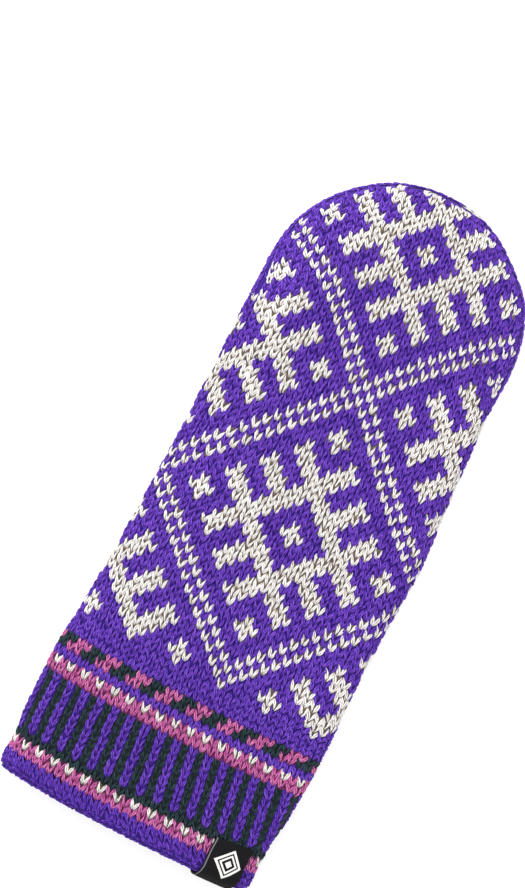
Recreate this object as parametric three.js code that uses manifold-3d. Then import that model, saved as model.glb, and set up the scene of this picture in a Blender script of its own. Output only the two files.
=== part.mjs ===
// A right-hand knitted wool mitten, lying palm down with its thumb folded flat under the palm.
// Millimetres. +X is to the wearer's little finger, +Y runs from the wrist to the fingertips, +Z is up.
// Every piece of the body is worked out from three numbers: the angle round the mitten, the station
// along it, and the inset, which is the depth below the outer surface. The thumb has a map of its own.

import * as THREE from "three";
import { mergeVertices } from "three/addons/utils/BufferGeometryUtils.js";
import Module from "manifold-3d";

const wasm = await Module();
wasm.setup();

// Driving dimensions
const LENGTH = 271.6; // from the fold of the label to the fingertips
const HAND_WALL = 2.4; // two strands of wool carried through every row
const THUMB_WALL = 2.0; // one strand
const GAP = 0.3; // between neighbouring pieces

// Stations along the mitten where one piece ends and the next begins
const HEM_LOW = 1.3;
const HEM_HIGH = 8.7;
const CUFF_LOW = HEM_HIGH + GAP;
const CUFF_HIGH = 48.6;
const HAND_LOW = CUFF_HIGH + GAP;
const SHOULDER = 219; // where the sides begin to round into the fingertips
const TIP_X = 7.2; // the highest point of the fingertips, right of the middle
const TIP_ROUNDNESS = 2.2; // 2 is an ellipse, more is fuller

// The outline seen from above, a row for each section
const OUTLINE = [
  { y: 1.5, left: -56.4, right: 48.2 },
  { y: 9.3, left: -56.6, right: 48.6 },
  { y: 16.8, left: -56.3, right: 49.2 },
  { y: 24.4, left: -57.4, right: 50.3 },
  { y: 39.4, left: -56.8, right: 52.1 },
  { y: 54.5, left: -56.0, right: 53.4 },
  { y: 69.6, left: -53.9, right: 53.9 },
  { y: 92.2, left: -51.9, right: 54.2 },
  { y: 114.8, left: -50.1, right: 55.4 },
  { y: 137.5, left: -48.6, right: 57.4 },
  { y: 160.1, left: -47.4, right: 56.8 },
  { y: 182.7, left: -46.6, right: 56.2 },
  { y: 205.3, left: -45.9, right: 55.6 },
  { y: SHOULDER, left: -45.1, right: 55.9 },
];

// The heights seen from the side: the back of the hand, and the fold of each side edge
const HEIGHTS = [
  { y: 1.5, back: 16.8, leftEdge: 8.0, rightEdge: 8.0 },
  { y: 24.4, back: 17.2, leftEdge: 8.2, rightEdge: 8.1 },
  { y: 54.5, back: 18.1, leftEdge: 8.5, rightEdge: 8.5 },
  { y: 92.2, back: 18.6, leftEdge: 9.2, rightEdge: 8.7 },
  { y: 114.8, back: 18.7, leftEdge: 11.2, rightEdge: 8.8 },
  { y: 137.5, back: 18.9, leftEdge: 13.3, rightEdge: 8.8 },
  { y: 182.7, back: 18.9, leftEdge: 13.6, rightEdge: 8.8 },
  { y: 205.3, back: 18.7, leftEdge: 12.6, rightEdge: 8.7 },
  { y: 226, back: 18.1, leftEdge: 9.2, rightEdge: 8.4 },
  { y: LENGTH, back: 17.0, leftEdge: 7.6, rightEdge: 7.6 },
];
const SECTION_FLATNESS = 4; // exponent across a section: 2 is an ellipse, more is flatter
const UNDERSIDE_FLATTENING = 1.3; // how much sooner the underside reaches the table
const TIP_FLATNESS = 3.4; // the same, along the fingertips

// The thumb, folded up along the palm
const THUMB_X = -24.5;
const THUMB_HALF_WIDTH = 20.3;
const THUMB_LOW = 131.3;
const THUMB_LENGTH = 76.5;
const THUMB_POINT = 26; // length of its pointed end
const THUMB_HEIGHT = 8.6;
const THUMB_ROUNDNESS = 2.2; // of the sides of its pointed end
const THUMB_TAPER = 0.8;
const THUMB_HOLE = { width: 33, depth: 10, height: 4.6 };

// The hollow in the palm that the folded thumb lies in
const RECESS_HEIGHT = THUMB_HEIGHT + GAP;
const RECESS_LOW = THUMB_LOW - GAP;
const RECESS_STEP = 0.1;
const ROOM_PAST_THUMB = 1.5;
const ROOM_BESIDE_THUMB = 0.6;
const RECESS_HIGH = THUMB_LOW + THUMB_LENGTH + ROOM_PAST_THUMB;
const RECESS_HIGH_FADE = 14;
const RECESS_SIDE = THUMB_X + THUMB_HALF_WIDTH + ROOM_BESIDE_THUMB;
const RECESS_SIDE_FADE = 13;

// The knitting lies a little askew: its rows climb towards the left edge, most of all at the cuff
const ASKEW = { from: 40, across: 97, power: 2.5 };
const ASKEW_RISE = [
  { y: 0, rise: 4.6 },
  { y: 60, rise: 4.4 },
  { y: 130, rise: 3.4 },
  { y: 200, rise: 2.4 },
  { y: 250, rise: 0 },
  { y: LENGTH, rise: 0 },
];

// The cuff's ribs, a raised wale and a sunk one by turns
const WALES = 72;
const RIB_DEPTH = 0.5;
const RIBS_LOW = 18;
const RIBS_HIGH = 43;
const RIB_END = 2; // length over which a rib rises at either end

// The rolled hem: the edge curls outwards into a roll
const ROLL_BULGE = 0.6;
const ROLL_THICKNESS = 5.2;
const ROLL_SIDES = 10;
const ROLL_HALF_LENGTH = (HEM_HIGH - HEM_LOW) / 2;
const ROLL_INSET = ROLL_THICKNESS / 2 - ROLL_BULGE; // the depth of its middle
const HEM_MIDDLE = (HEM_LOW + HEM_HIGH) / 2;

// The woven tab folded over the hem
const LABEL = { left: 29.3, right: 44.2, top: 17.4, thickness: 1, inner: 9, slope: 0.1 };
const LABEL_SPANS = 4;
const LABEL_BENDS = 8;
const LABEL_LIFT = { above: 2, by: 0.15 }; // how far it stands off just above the roll

// How finely the surfaces are divided: the sides of a section, and the stations of the sections
const HAND_SIDES = 56;
const THUMB_SIDES = 36;
const PALM_STATIONS = [62, 78, 94, 110, 122];
const OVER_THUMB_STATIONS = [145, 160, 176, 192, 204];
const FINGERTIP_STATIONS = [211, 218, 224, 230, 237, 244, 250, 255.5, 260.5, 264.5, 267.5, 270, 271.2];
const THUMB_STATIONS = [0, 12, 26, 40]; // from its open end
const THUMB_END_STATIONS = [24, 20, 16, 12, 8.5, 5.5, 3, 1.2, 0.3, 0]; // short of its point
const CUFF_LOW_STATION = 13;
const CUFF_INSIDE_STATION = 28;
const ARC_STEPS = 400;
const SAME_POINT = 1e-4; // points nearer than this are one

const WOOL_ROUGHNESS = 0.95;
const RIBBON_ROUGHNESS = 0.8;

// A smooth curve through one column of a table (cubic Hermite, slopes from the two neighbours)
function curveThrough(rows, column) {
  const last = rows.length - 1;
  const slope = (i) => {
    const before = rows[Math.max(i - 1, 0)];
    const after = rows[Math.min(i + 1, last)];
    return (after[column] - before[column]) / (after.y - before.y);
  };
  return (y) => {
    const at = THREE.MathUtils.clamp(y, rows[0].y, rows[last].y);
    const i = Math.min(rows.findLastIndex((row) => row.y <= at), last - 1);
    const step = rows[i + 1].y - rows[i].y;
    const t = (at - rows[i].y) / step;
    const rise = rows[i + 1][column] - rows[i][column];
    const bend = (slope(i) * step - rise) * (1 - t) + (rise - slope(i + 1) * step) * t;
    return rows[i][column] + t * rise + t * (1 - t) * bend;
  };
}

const leftAt = curveThrough(OUTLINE, "left");
const rightAt = curveThrough(OUTLINE, "right");
const backAt = curveThrough(HEIGHTS, "back");
const leftEdgeAt = curveThrough(HEIGHTS, "leftEdge");
const rightEdgeAt = curveThrough(HEIGHTS, "rightEdge");
const askewRiseAt = curveThrough(ASKEW_RISE, "rise");

// How wide a section is and how full: the fingertips close on a rounded end
function outlineAt(y, inset) {
  const t = THREE.MathUtils.clamp((y - SHOULDER) / (LENGTH - inset - SHOULDER), 0, 1);
  const width = Math.sqrt(1 - t ** TIP_ROUNDNESS);
  const left = TIP_X + (leftAt(y) + inset - TIP_X) * width;
  const right = TIP_X + (rightAt(y) - inset - TIP_X) * width;
  return { centre: (left + right) / 2, half: (right - left) / 2, full: Math.sqrt(1 - t ** TIP_FLATNESS) };
}

function recessHeight(x, y, inset) {
  const { smoothstep } = THREE.MathUtils;
  const base = smoothstep(y, RECESS_LOW - RECESS_STEP - inset, RECESS_LOW - inset);
  const end = 1 - smoothstep(y, RECESS_HIGH + inset, RECESS_HIGH + RECESS_HIGH_FADE + inset);
  const side = 1 - smoothstep(x, RECESS_SIDE + inset, RECESS_SIDE + RECESS_SIDE_FADE + inset);
  return RECESS_HEIGHT * base * end * side;
}

// Shifts a station along the mitten by how far the rows climb there
function askew(x, y) {
  const towardsLeft = THREE.MathUtils.clamp((ASKEW.from - x) / ASKEW.across, 0, 1);
  return y + askewRiseAt(y) * towardsLeft ** ASKEW.power;
}

function sectionFullness(across) {
  return Math.sqrt(Math.max(0, 1 - Math.abs(across) ** SECTION_FLATNESS));
}

// The body's map: angle 0 is the right edge, a quarter turn is the back, a half turn the left edge
function onMitten(angle, y, inset) {
  const outline = outlineAt(y, inset);
  const across = Math.cos(angle);
  const x = outline.centre + outline.half * across;
  const edge = THREE.MathUtils.lerp(leftEdgeAt(y), rightEdgeAt(y), (1 + across) / 2);
  const full = sectionFullness(across) * outline.full;
  const back = edge + (backAt(y) - inset - edge) * full;
  const palm = edge - (edge - inset - recessHeight(x, y, inset)) * Math.min(1, UNDERSIDE_FLATTENING * full);
  const z = Math.sin(angle) >= 0 ? back : palm;
  return new THREE.Vector3(x, askew(x, y), Math.max(0, z));
}

// The thumb's map: the same angles, about its own middle line
function onThumb(angle, y, inset) {
  const end = THUMB_LOW + THUMB_LENGTH - inset;
  const t = THREE.MathUtils.clamp((y - end + THUMB_POINT) / THUMB_POINT, 0, 1);
  const half = (THUMB_HALF_WIDTH - inset) * (1 - t ** THUMB_ROUNDNESS) ** THUMB_TAPER;
  const across = Math.cos(angle);
  const full = sectionFullness(across) * Math.sqrt(1 - t ** TIP_FLATNESS);
  const middle = THUMB_HEIGHT / 2;
  const up = full * (middle - inset);
  const down = Math.min(1, UNDERSIDE_FLATTENING * full) * (middle - inset);
  const x = THUMB_X + half * across;
  return new THREE.Vector3(x, askew(x, y), Math.sin(angle) >= 0 ? middle + up : middle - down);
}

// Carries a profile of {y, inset} points round a list of angles. Points that fall together are merged
// and the empty triangles dropped, so a profile that begins and ends on a closed tip needs no caps.
function sweep(place, angles, profileAt, closedProfile) {
  const rings = angles.map((angle) => profileAt(angle).map(({ y, inset }) => place(angle, y, inset)));
  const length = rings[0].length;
  const positions = rings.flat().flatMap((point) => point.toArray());
  const index = [];
  const quads = closedProfile ? length : length - 1;
  for (let i = 0; i < rings.length; i += 1) {
    for (let j = 0; j < quads; j += 1) {
      const next = (i + 1) % rings.length;
      const a = i * length + j;
      const b = next * length + j;
      const c = next * length + ((j + 1) % length);
      const d = i * length + ((j + 1) % length);
      index.push(a, b, c, a, c, d);
    }
  }
  return welded(positions, index);
}

function welded(positions, index) {
  const loose = new THREE.BufferGeometry();
  loose.setAttribute("position", new THREE.Float32BufferAttribute(positions, 3));
  loose.setIndex(index);
  const geometry = mergeVertices(loose, SAME_POINT);
  const corners = Array.from(geometry.index.array);
  const kept = [];
  for (let i = 0; i < corners.length; i += 3) {
    const [a, b, c] = corners.slice(i, i + 3);
    if (a !== b && b !== c && c !== a) kept.push(a, b, c);
  }
  geometry.setIndex(kept);
  return geometry;
}

function evenAngles(count) {
  return Array.from({ length: count }, (_, i) => (2 * Math.PI * i) / count);
}

// Angles that share each half of a section's arc equally, so that every wale is as wide as the next
function waleAngles(y, count) {
  const angles = [];
  for (const start of [0, Math.PI]) {
    const arc = [0];
    for (let i = 1; i <= ARC_STEPS; i += 1) {
      const from = onMitten(start + (Math.PI * (i - 1)) / ARC_STEPS, y, 0);
      arc.push(arc[i - 1] + from.distanceTo(onMitten(start + (Math.PI * i) / ARC_STEPS, y, 0)));
    }
    for (let wale = 0; wale < count / 2; wale += 1) {
      const length = (arc[ARC_STEPS] * wale) / (count / 2);
      angles.push(start + (Math.PI * arc.findIndex((value) => value >= length)) / ARC_STEPS);
    }
  }
  return angles;
}

// From the tip down the outside, across the open end and back up the inside
function pocketProfile(outerStations, innerStations, wall) {
  const outside = outerStations.map((y) => ({ y, inset: 0 }));
  const inside = innerStations.map((y) => ({ y, inset: wall }));
  return [...outside, ...inside.reverse()];
}

function handStations(inset) {
  const step = [RECESS_LOW - RECESS_STEP, RECESS_LOW].map((y) => y - inset);
  const tip = [...FINGERTIP_STATIONS, LENGTH].map((y) => y - inset);
  return [HAND_LOW, ...PALM_STATIONS, ...step, ...OVER_THUMB_STATIONS, ...tip].reverse();
}

function handShell() {
  const profile = pocketProfile(handStations(0), handStations(HAND_WALL), HAND_WALL);
  return sweep(onMitten, evenAngles(HAND_SIDES), () => profile, false);
}

// The slot in the step of the palm that the thumb opens from
function thumbHole() {
  const { width, depth, height } = THUMB_HOLE;
  const hole = new THREE.BoxGeometry(width, depth, height);
  hole.translate(THUMB_X, askew(THUMB_X, RECESS_LOW - HAND_WALL / 2), THUMB_WALL + height / 2);
  return hole;
}

function thumbShell() {
  const end = THUMB_LOW + THUMB_LENGTH;
  const stations = (inset) => {
    const straight = THUMB_STATIONS.map((y) => THUMB_LOW + y);
    return [...straight, ...THUMB_END_STATIONS.map((y) => end - inset - y)].reverse();
  };
  const profile = pocketProfile(stations(0), stations(THUMB_WALL), THUMB_WALL);
  return sweep(onThumb, evenAngles(THUMB_SIDES), () => profile, false);
}

// A band of knitting whose wales stand out by turns between the stations of the ribs
function cuffBand() {
  const angles = waleAngles((CUFF_LOW + CUFF_HIGH) / 2, WALES);
  const ribs = [RIBS_LOW, RIBS_LOW + RIB_END, RIBS_HIGH - RIB_END, RIBS_HIGH];
  const ribbed = [CUFF_LOW, CUFF_LOW_STATION, ...ribs, CUFF_HIGH];
  const profileAt = (angle) => {
    const sunk = angles.indexOf(angle) % 2 ? RIB_DEPTH : 0;
    const outside = ribbed.map((y) => ({ y, inset: y > RIBS_LOW && y < RIBS_HIGH ? sunk : 0 }));
    const inside = [CUFF_HIGH, CUFF_INSIDE_STATION, CUFF_LOW].map((y) => ({ y, inset: HAND_WALL }));
    return [...outside.reverse(), ...inside.reverse()];
  };
  return sweep(onMitten, angles, profileAt, true);
}

function hemRoll() {
  const profile = evenAngles(ROLL_SIDES).map((turn) => ({
    y: HEM_MIDDLE - ROLL_HALF_LENGTH * Math.sin(turn),
    inset: ROLL_INSET - (ROLL_THICKNESS / 2) * Math.cos(turn),
  }));
  return sweep(onMitten, evenAngles(WALES), () => profile, true);
}

// The tab's profile: down over the cuff and the roll, round the hem's lower edge and up inside.
// Its upper edge slopes, so it starts at a station of its own on each side.
function labelProfile(top) {
  const side = (clearance) => {
    const reach = { y: ROLL_HALF_LENGTH + clearance, inset: ROLL_THICKNESS / 2 + clearance };
    const turns = Array.from({ length: LABEL_BENDS + 1 }, (_, i) => (Math.PI * i) / LABEL_BENDS);
    const round = turns.map((turn) => ({
      y: HEM_MIDDLE - reach.y * Math.sin(turn),
      inset: ROLL_INSET - reach.inset * Math.cos(turn),
    }));
    const outside = [
      { y: top, inset: -clearance },
      { y: HEM_HIGH + LABEL_LIFT.above, inset: -clearance - LABEL_LIFT.by },
    ];
    return [...outside, ...round, { y: LABEL.inner, inset: ROLL_INSET + reach.inset }];
  };
  return [...side(GAP + LABEL.thickness), ...side(GAP).reverse()];
}

// The tab runs between two angles, with its profile as an end face on each side
function labelTab() {
  const outline = outlineAt(LABEL.top, 0);
  const edges = [LABEL.right, LABEL.left].map((x) => Math.acos((x - outline.centre) / outline.half));
  const angles = Array.from({ length: LABEL_SPANS + 1 }, (_, i) =>
    THREE.MathUtils.lerp(edges[0], edges[1], i / LABEL_SPANS),
  );
  const profiles = angles.map((angle) => {
    const x = outline.centre + outline.half * Math.cos(angle);
    return labelProfile(LABEL.top + LABEL.slope * (x - LABEL.right));
  });
  const positions = angles.flatMap((angle, i) =>
    profiles[i].flatMap(({ y, inset }) => onMitten(angle, y, inset).toArray()),
  );
  const length = profiles[0].length;
  const index = [];
  for (let i = 0; i < LABEL_SPANS; i += 1) {
    for (let j = 0; j < length; j += 1) {
      const a = i * length + j;
      const d = i * length + ((j + 1) % length);
      index.push(a, a + length, d + length, a, d + length, d);
    }
  }
  const face = profiles[0].map(({ y, inset }) => new THREE.Vector2(y, inset));
  const far = LABEL_SPANS * length;
  for (const [a, b, c] of THREE.ShapeUtils.triangulateShape(face, [])) {
    index.push(a, c, b, far + a, far + b, far + c);
  }
  return welded(positions, index);
}

function solidOf(geometry) {
  const bare = new THREE.BufferGeometry();
  bare.setAttribute("position", geometry.getAttribute("position"));
  bare.setIndex(geometry.index);
  const merged = mergeVertices(bare, SAME_POINT);
  const vertProperties = new Float32Array(merged.getAttribute("position").array);
  const triVerts = new Uint32Array(merged.index.array);
  return new wasm.Manifold(new wasm.Mesh({ numProp: 3, vertProperties, triVerts }));
}

function cut(body, tool) {
  const mesh = solidOf(body).subtract(solidOf(tool)).getMesh();
  const geometry = new THREE.BufferGeometry();
  geometry.setAttribute("position", new THREE.Float32BufferAttribute(mesh.vertProperties, 3));
  geometry.setIndex(Array.from(mesh.triVerts));
  return geometry;
}

function wool(colour) {
  return new THREE.MeshStandardMaterial({ color: colour, roughness: WOOL_ROUGHNESS, metalness: 0 });
}

function ribbon(colour) {
  return new THREE.MeshStandardMaterial({ color: colour, roughness: RIBBON_ROUGHNESS, metalness: 0 });
}

function namedPiece(name, geometry, material) {
  geometry.computeVertexNormals();
  const piece = new THREE.Mesh(geometry, material);
  piece.name = name;
  return piece;
}

const mitten = new THREE.Group();
mitten.add(namedPiece("hand", cut(handShell(), thumbHole()), wool("#5a36b4")));
mitten.add(namedPiece("thumb", thumbShell(), wool("#5632ac")));
mitten.add(namedPiece("cuff", cuffBand(), wool("#4a3a86")));
mitten.add(namedPiece("rolled_hem", hemRoll(), wool("#5230a6")));
mitten.add(namedPiece("label_tab", labelTab(), ribbon("#141416")));
mitten.position.y = -LENGTH / 2;

export default mitten;
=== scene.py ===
"""A right-hand stranded mitten in wool, lying palm down, knitted stitch by stitch.

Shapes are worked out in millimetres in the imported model's frame: x to the little finger, y to the
fingertips, z up. A place on the knitting is a column, a row and a depth. Column 0 is the middle of the
back and columns count to the right. Row 0 is the middle of the large figure on the back and rows count
towards the fingertips. The depth is measured inwards from the outer surface.
"""

import bmesh
import bpy
import numpy as np
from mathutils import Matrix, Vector


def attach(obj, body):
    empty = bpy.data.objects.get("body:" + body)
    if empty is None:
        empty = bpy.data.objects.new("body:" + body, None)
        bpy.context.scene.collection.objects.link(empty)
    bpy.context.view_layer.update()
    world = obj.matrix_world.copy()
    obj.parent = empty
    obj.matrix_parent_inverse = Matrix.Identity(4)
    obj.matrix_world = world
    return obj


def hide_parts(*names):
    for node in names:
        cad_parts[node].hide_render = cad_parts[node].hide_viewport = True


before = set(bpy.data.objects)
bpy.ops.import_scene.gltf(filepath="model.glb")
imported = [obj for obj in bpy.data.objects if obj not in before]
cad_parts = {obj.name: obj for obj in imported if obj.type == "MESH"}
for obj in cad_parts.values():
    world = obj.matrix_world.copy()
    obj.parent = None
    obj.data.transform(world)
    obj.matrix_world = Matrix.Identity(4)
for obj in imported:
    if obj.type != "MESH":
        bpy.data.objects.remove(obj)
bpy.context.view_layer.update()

MM = 0.001


def table(columns, *rows):
    """A short table as one array for each named column."""
    return dict(zip(columns.split(), np.array(rows, float).T))


# Driving sizes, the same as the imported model's
LENGTH = 271.6
HAND_WALL = 2.4
THUMB_WALL = 2.0
GAP = 0.3
HEM_LOW = 1.3
HEM_HIGH = 8.7
CUFF_LOW = 9.0
CUFF_HIGH = 48.6
HAND_LOW = 48.9
SHOULDER = 219.0
TIP_X = 7.2
TIP_ROUNDNESS = 2.2
OUTLINE = table(
    "y left right",
    (1.5, -56.4, 48.2), (9.3, -56.6, 48.6), (16.8, -56.3, 49.2), (24.4, -57.4, 50.3), (39.4, -56.8, 52.1),
    (54.5, -56.0, 53.4), (69.6, -53.9, 53.9), (92.2, -51.9, 54.2), (114.8, -50.1, 55.4),
    (137.5, -48.6, 57.4), (160.1, -47.4, 56.8), (182.7, -46.6, 56.2), (205.3, -45.9, 55.6),
    (SHOULDER, -45.1, 55.9),
)
HEIGHTS = table(
    "y back left_edge right_edge",
    (1.5, 16.8, 8.0, 8.0), (24.4, 17.2, 8.2, 8.1), (54.5, 18.1, 8.5, 8.5), (92.2, 18.6, 9.2, 8.7),
    (114.8, 18.7, 11.2, 8.8), (137.5, 18.9, 13.3, 8.8), (182.7, 18.9, 13.6, 8.8),
    (205.3, 18.7, 12.6, 8.7), (226.0, 18.1, 9.2, 8.4), (LENGTH, 17.0, 7.6, 7.6),
)
FLOOR_CLEARANCE = 0.04
SECTION_FLATNESS = 4.0
UNDERSIDE_FLATTENING = 1.3
TIP_FLATNESS = 3.4
TIP_KEPT = 0.03  # the stitches' ends stay this far short of the tip
THUMB_X = -24.5
THUMB_HALF_WIDTH = 20.3
THUMB_LOW = 131.3
THUMB_LENGTH = 76.5
THUMB_END = THUMB_LOW + THUMB_LENGTH
THUMB_POINT = 26.0
THUMB_HEIGHT = 8.6
THUMB_ROUNDNESS = 2.2
THUMB_TAPER = 0.8
THUMB_HOLE = (33.0, 10.0, 4.6)  # its width, depth and height
RECESS_HEIGHT = THUMB_HEIGHT + GAP
RECESS_LOW = THUMB_LOW - GAP
RECESS_STEP = 0.1
RECESS_HIGH = THUMB_END + 1.5
RECESS_HIGH_FADE = 14.0
RECESS_SIDE = THUMB_X + THUMB_HALF_WIDTH + 0.6
RECESS_SIDE_FADE = 13.0
RECESS_SIDE_BLEND = 1.0
ASKEW_FROM = 40.0
ASKEW_ACROSS = 97.0
ASKEW_POWER = 2.5
ASKEW_RISE = table("y rise", (0, 4.6), (60, 4.4), (130, 3.4), (200, 2.4), (250, 0), (LENGTH, 0))
ROLL_BULGE = 0.6
ROLL_THICKNESS = 5.2
ROLL_FADE = 2.0  # mm of the cuff over which the hem's bulge sinks to it
ROLL_HALF_LENGTH = (HEM_HIGH - HEM_LOW) / 2
ROLL_REACH = ROLL_HALF_LENGTH + 0.8  # the soft yarn bulges out below the roll's lower edge
ROLL_INSET = ROLL_THICKNESS / 2 - ROLL_BULGE
HEM_MIDDLE = (HEM_LOW + HEM_HIGH) / 2
LABEL_LEFT = 29.3
LABEL_RIGHT = 44.2
LABEL_TOP = 17.4
LABEL_INNER = 9.0

# The knitting: the width of a column on the back, the height of a row, and the yarn
COLUMN = 3.24
ROW = 3.2
COLUMNS = 72
YARN_WIDTH = 1.56
YARN_HEIGHT = 1.15
COLUMN_PATH = table(  # where the middle column runs, and how wide the columns of the back are
    "y x width",
    (0, 7.4, 3.26), (48, 7.4, 3.26), (72, 6.9, 3.26), (100, 6.5, 3.26), (128, 7.4, 3.25),
    (156, 8.1, 3.16), (184, 9.0, 3.10), (212, 9.5, 3.03), (240, 9.4, 3.06), (248, 9.35, 3.08),
    (256, 9.15, 3.12), (264, 8.5, 3.16), (LENGTH, 8.0, 3.2),
)
ROWS = table(
    "row y",
    (-42, -2.6), (-40, 3.8), (-38, 10.0), (-37, 13.1), (-26, 47.6), (-24, 54.1), (-18, 72.3), (-9, 102.0),
    (0, 131.1), (6, 150.7), (12, 170.8), (18, 190.9), (24, 211.1), (30, 230.1), (36, 248.0), (40, 259.4),
    (42, 264.5), (43, 266.8), (44, 269.0), (45, 270.6),
)
TIP_RISE = 0.9  # the soft knitting reaches past the plain shape's tip
TIP_RISE_FROM = (258, 270)
LEVEL_AT = -2.0  # the rows hang lower to the right of this x: so much for each mm, and for its square
HANG = 0.05
HANG_BEND = 0.0006
HANG_LEFT = 0.4  # to its left they rise by this share of that
HANG_FROM = (50.0, 76.0)
THUMB_RISE = 1.8  # the rows over the thumb rise
THUMB_RISE_AT = 172.0
THUMB_RISE_REACH = 24.0
THUMB_RISE_X = (-5.0, 35.0)
HANG_RIGHT = table(  # the rows hang this much more at the right-hand fold, where the share below is 1
    "y more",
    (76, -0.2), (100, -0.3), (118, -0.9), (132, -1.6), (150, -1.4), (166, -0.6), (180, 0.1), (194, 0.4),
    (206, 1.1), (220, 1.6), (232, 2.2), (242, 2.3), (248, 1.4), (253, 0.2), (LENGTH, 0),
)
HANG_RIGHT_X = (26.0, 52.0)  # the share grows from 0 to 1 between these
HANG_LEFT_SHOULDER = table(  # and this much more on the left shoulder
    "y more",
    (196, 0), (206, 0.5), (212, 1.2), (218, 1.6), (227, 2.2), (237, 2.9), (LENGTH, 3.2),
)
HANG_LEFT_SHOULDER_X = (-20.0, -36.0)
HANG_POWER = 1.3  # the power of such shares
HANG_WIDEST = 1.2
PROUD = table(  # how far the knitting stands out at the right-hand fold
    "y by",
    (0, 0.5), (12, 1.0), (45, 1.0), (65, 0.7), (200, 0.6), (220, 1.4), (246, 1.6), (252, 1.0), (258, 0.2),
    (264, 0.0), (LENGTH, 0.0),
)
FAN = table(  # the columns by the left-hand fold spread: from where, and by how much at FAN_X
    "y from most",
    (114, -20, 0), (142, -18, 0.9), (184, -24, 0.9), (212, -24, 2.2), (226, -15, 3.3), (240, 0, 3.9),
    (254, 4, 5), (LENGTH, 4, 5),
)
FAN_X = -35.0
FAN_POWER = 1.5
FAN_WIDEST = 1.2
FAN_RIGHT = table(  # the columns by the right-hand fold spread to the right, by this at the second x below
    "y most",
    (0, 1.4), (50, 1.6), (85, 1.9), (110, 1.7), (120, 1.1), (135, 0.7), (155, 0.9), (180, 1.1),
    (198, 1.4), (206, 1.2), (217, 0), (LENGTH, 0),
)
FAN_RIGHT_X = (33.0, 53.0)
RIB_LEAN = 5.4  # how far the cuff's ribs lean to the right by the hem
LEAN_BACK = (-14, 6)  # the columns of the back between which the lean grows to its full amount
LEAN_PALM = (3, 24)  # and the columns between which it goes again, round the right-hand fold

YARNS = ["purple", "white", "pink", "green"]
PURPLE, WHITE, PINK, GREEN = range(4)


def smoothstep(value, low, high):
    """A smooth step from 0 at low to 1 at high, three squares less two cubes of the share of the way."""
    t = np.clip((value - low) / (high - low), 0, 1)
    return t * t * (3 - 2 * t)


def curves(rows):
    """Smooth curves through the columns of a table, against its first one: cubic Hermite, with slopes
    from the two neighbours."""
    knots, *columns = rows.values()
    before = np.maximum(np.arange(len(knots)) - 1, 0)
    after = np.minimum(np.arange(len(knots)) + 1, len(knots) - 1)

    def curve(values):
        slopes = (values[after] - values[before]) / (knots[after] - knots[before])

        def at(y):
            y = np.clip(y, knots[0], knots[-1])
            i = np.clip(np.searchsorted(knots, y, side="right") - 1, 0, len(knots) - 2)
            step = knots[i + 1] - knots[i]
            t = (y - knots[i]) / step
            rise = values[i + 1] - values[i]
            bend = (slopes[i] * step - rise) * (1 - t) + (rise - slopes[i + 1] * step) * t
            return values[i] + t * rise + t * (1 - t) * bend

        return at

    return [curve(values) for values in columns]


def always(value):
    """A curve that has one value everywhere."""
    return lambda y: value + 0 * y


def running_sum(steps):
    """The way gone at each point along a line, from the steps between the points."""
    return np.pad(np.cumsum(steps, axis=-1), [(0, 0)] * (steps.ndim - 1) + [(1, 0)])


def read_grid(grid, i, j):
    """Reads a grid between its points, by straight lines both ways."""
    i0, j0 = (np.minimum(k.astype(int), size - 2) for k, size in zip((i, j), grid.shape))
    di, dj = np.minimum(i - i0, 1), np.minimum(j - j0, 1)
    low = grid[i0, j0] * (1 - dj) + grid[i0, j0 + 1] * dj
    high = grid[i0 + 1, j0] * (1 - dj) + grid[i0 + 1, j0 + 1] * dj
    return low * (1 - di) + high * di


left_at, right_at = curves(OUTLINE)
back_at, left_edge_at, right_edge_at = curves(HEIGHTS)
(askew_rise_at,) = curves(ASKEW_RISE)


def outline_at(y, inset):
    """Centre, half width and fullness of a section. Past the shoulder the half width falls as
    sqrt(1 - t^TIP_ROUNDNESS) and the height as sqrt(1 - t^TIP_FLATNESS), t running from 0 to 1."""
    t = np.clip((y - SHOULDER) / (LENGTH - inset - SHOULDER), 0, 1)
    width = np.sqrt(1 - t**TIP_ROUNDNESS)
    left = TIP_X + (left_at(y) + inset - TIP_X) * width
    right = TIP_X + (right_at(y) - inset - TIP_X) * width
    return (left + right) / 2, (right - left) / 2, np.sqrt(1 - t**TIP_FLATNESS)


def recess_height(x, y, inset):
    """The hollow for the thumb. Beside the thumb it begins gently instead of in a step."""
    beside = smoothstep(x, RECESS_SIDE - RECESS_SIDE_BLEND, RECESS_SIDE + RECESS_SIDE_BLEND)
    gentle = RECESS_HIGH_FADE * beside
    base = smoothstep(y, RECESS_LOW - RECESS_STEP - inset, RECESS_LOW - inset + gentle)
    end = 1 - smoothstep(y, RECESS_HIGH + inset, RECESS_HIGH + RECESS_HIGH_FADE + inset)
    side = 1 - smoothstep(x, RECESS_SIDE + inset, RECESS_SIDE + RECESS_SIDE_FADE + inset)
    return RECESS_HEIGHT * base * end * side


def askew(x, y):
    """The rows climb to the left by a power of the distance, more at the cuff than at the fingertips."""
    return y + askew_rise_at(y) * np.clip((ASKEW_FROM - x) / ASKEW_ACROSS, 0, 1) ** ASKEW_POWER


def section_fullness(across):
    """How full a flat superellipse is at a share of its half width."""
    return np.sqrt(np.maximum(0, 1 - np.abs(across) ** SECTION_FLATNESS))


def framed(x, y, z):
    """Points in the frame, whose y is 0 at the middle of the length. None goes below what it lies on."""
    return np.stack(np.broadcast_arrays(x, y - LENGTH / 2, np.maximum(z, FLOOR_CLEARANCE)), axis=-1)


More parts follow.
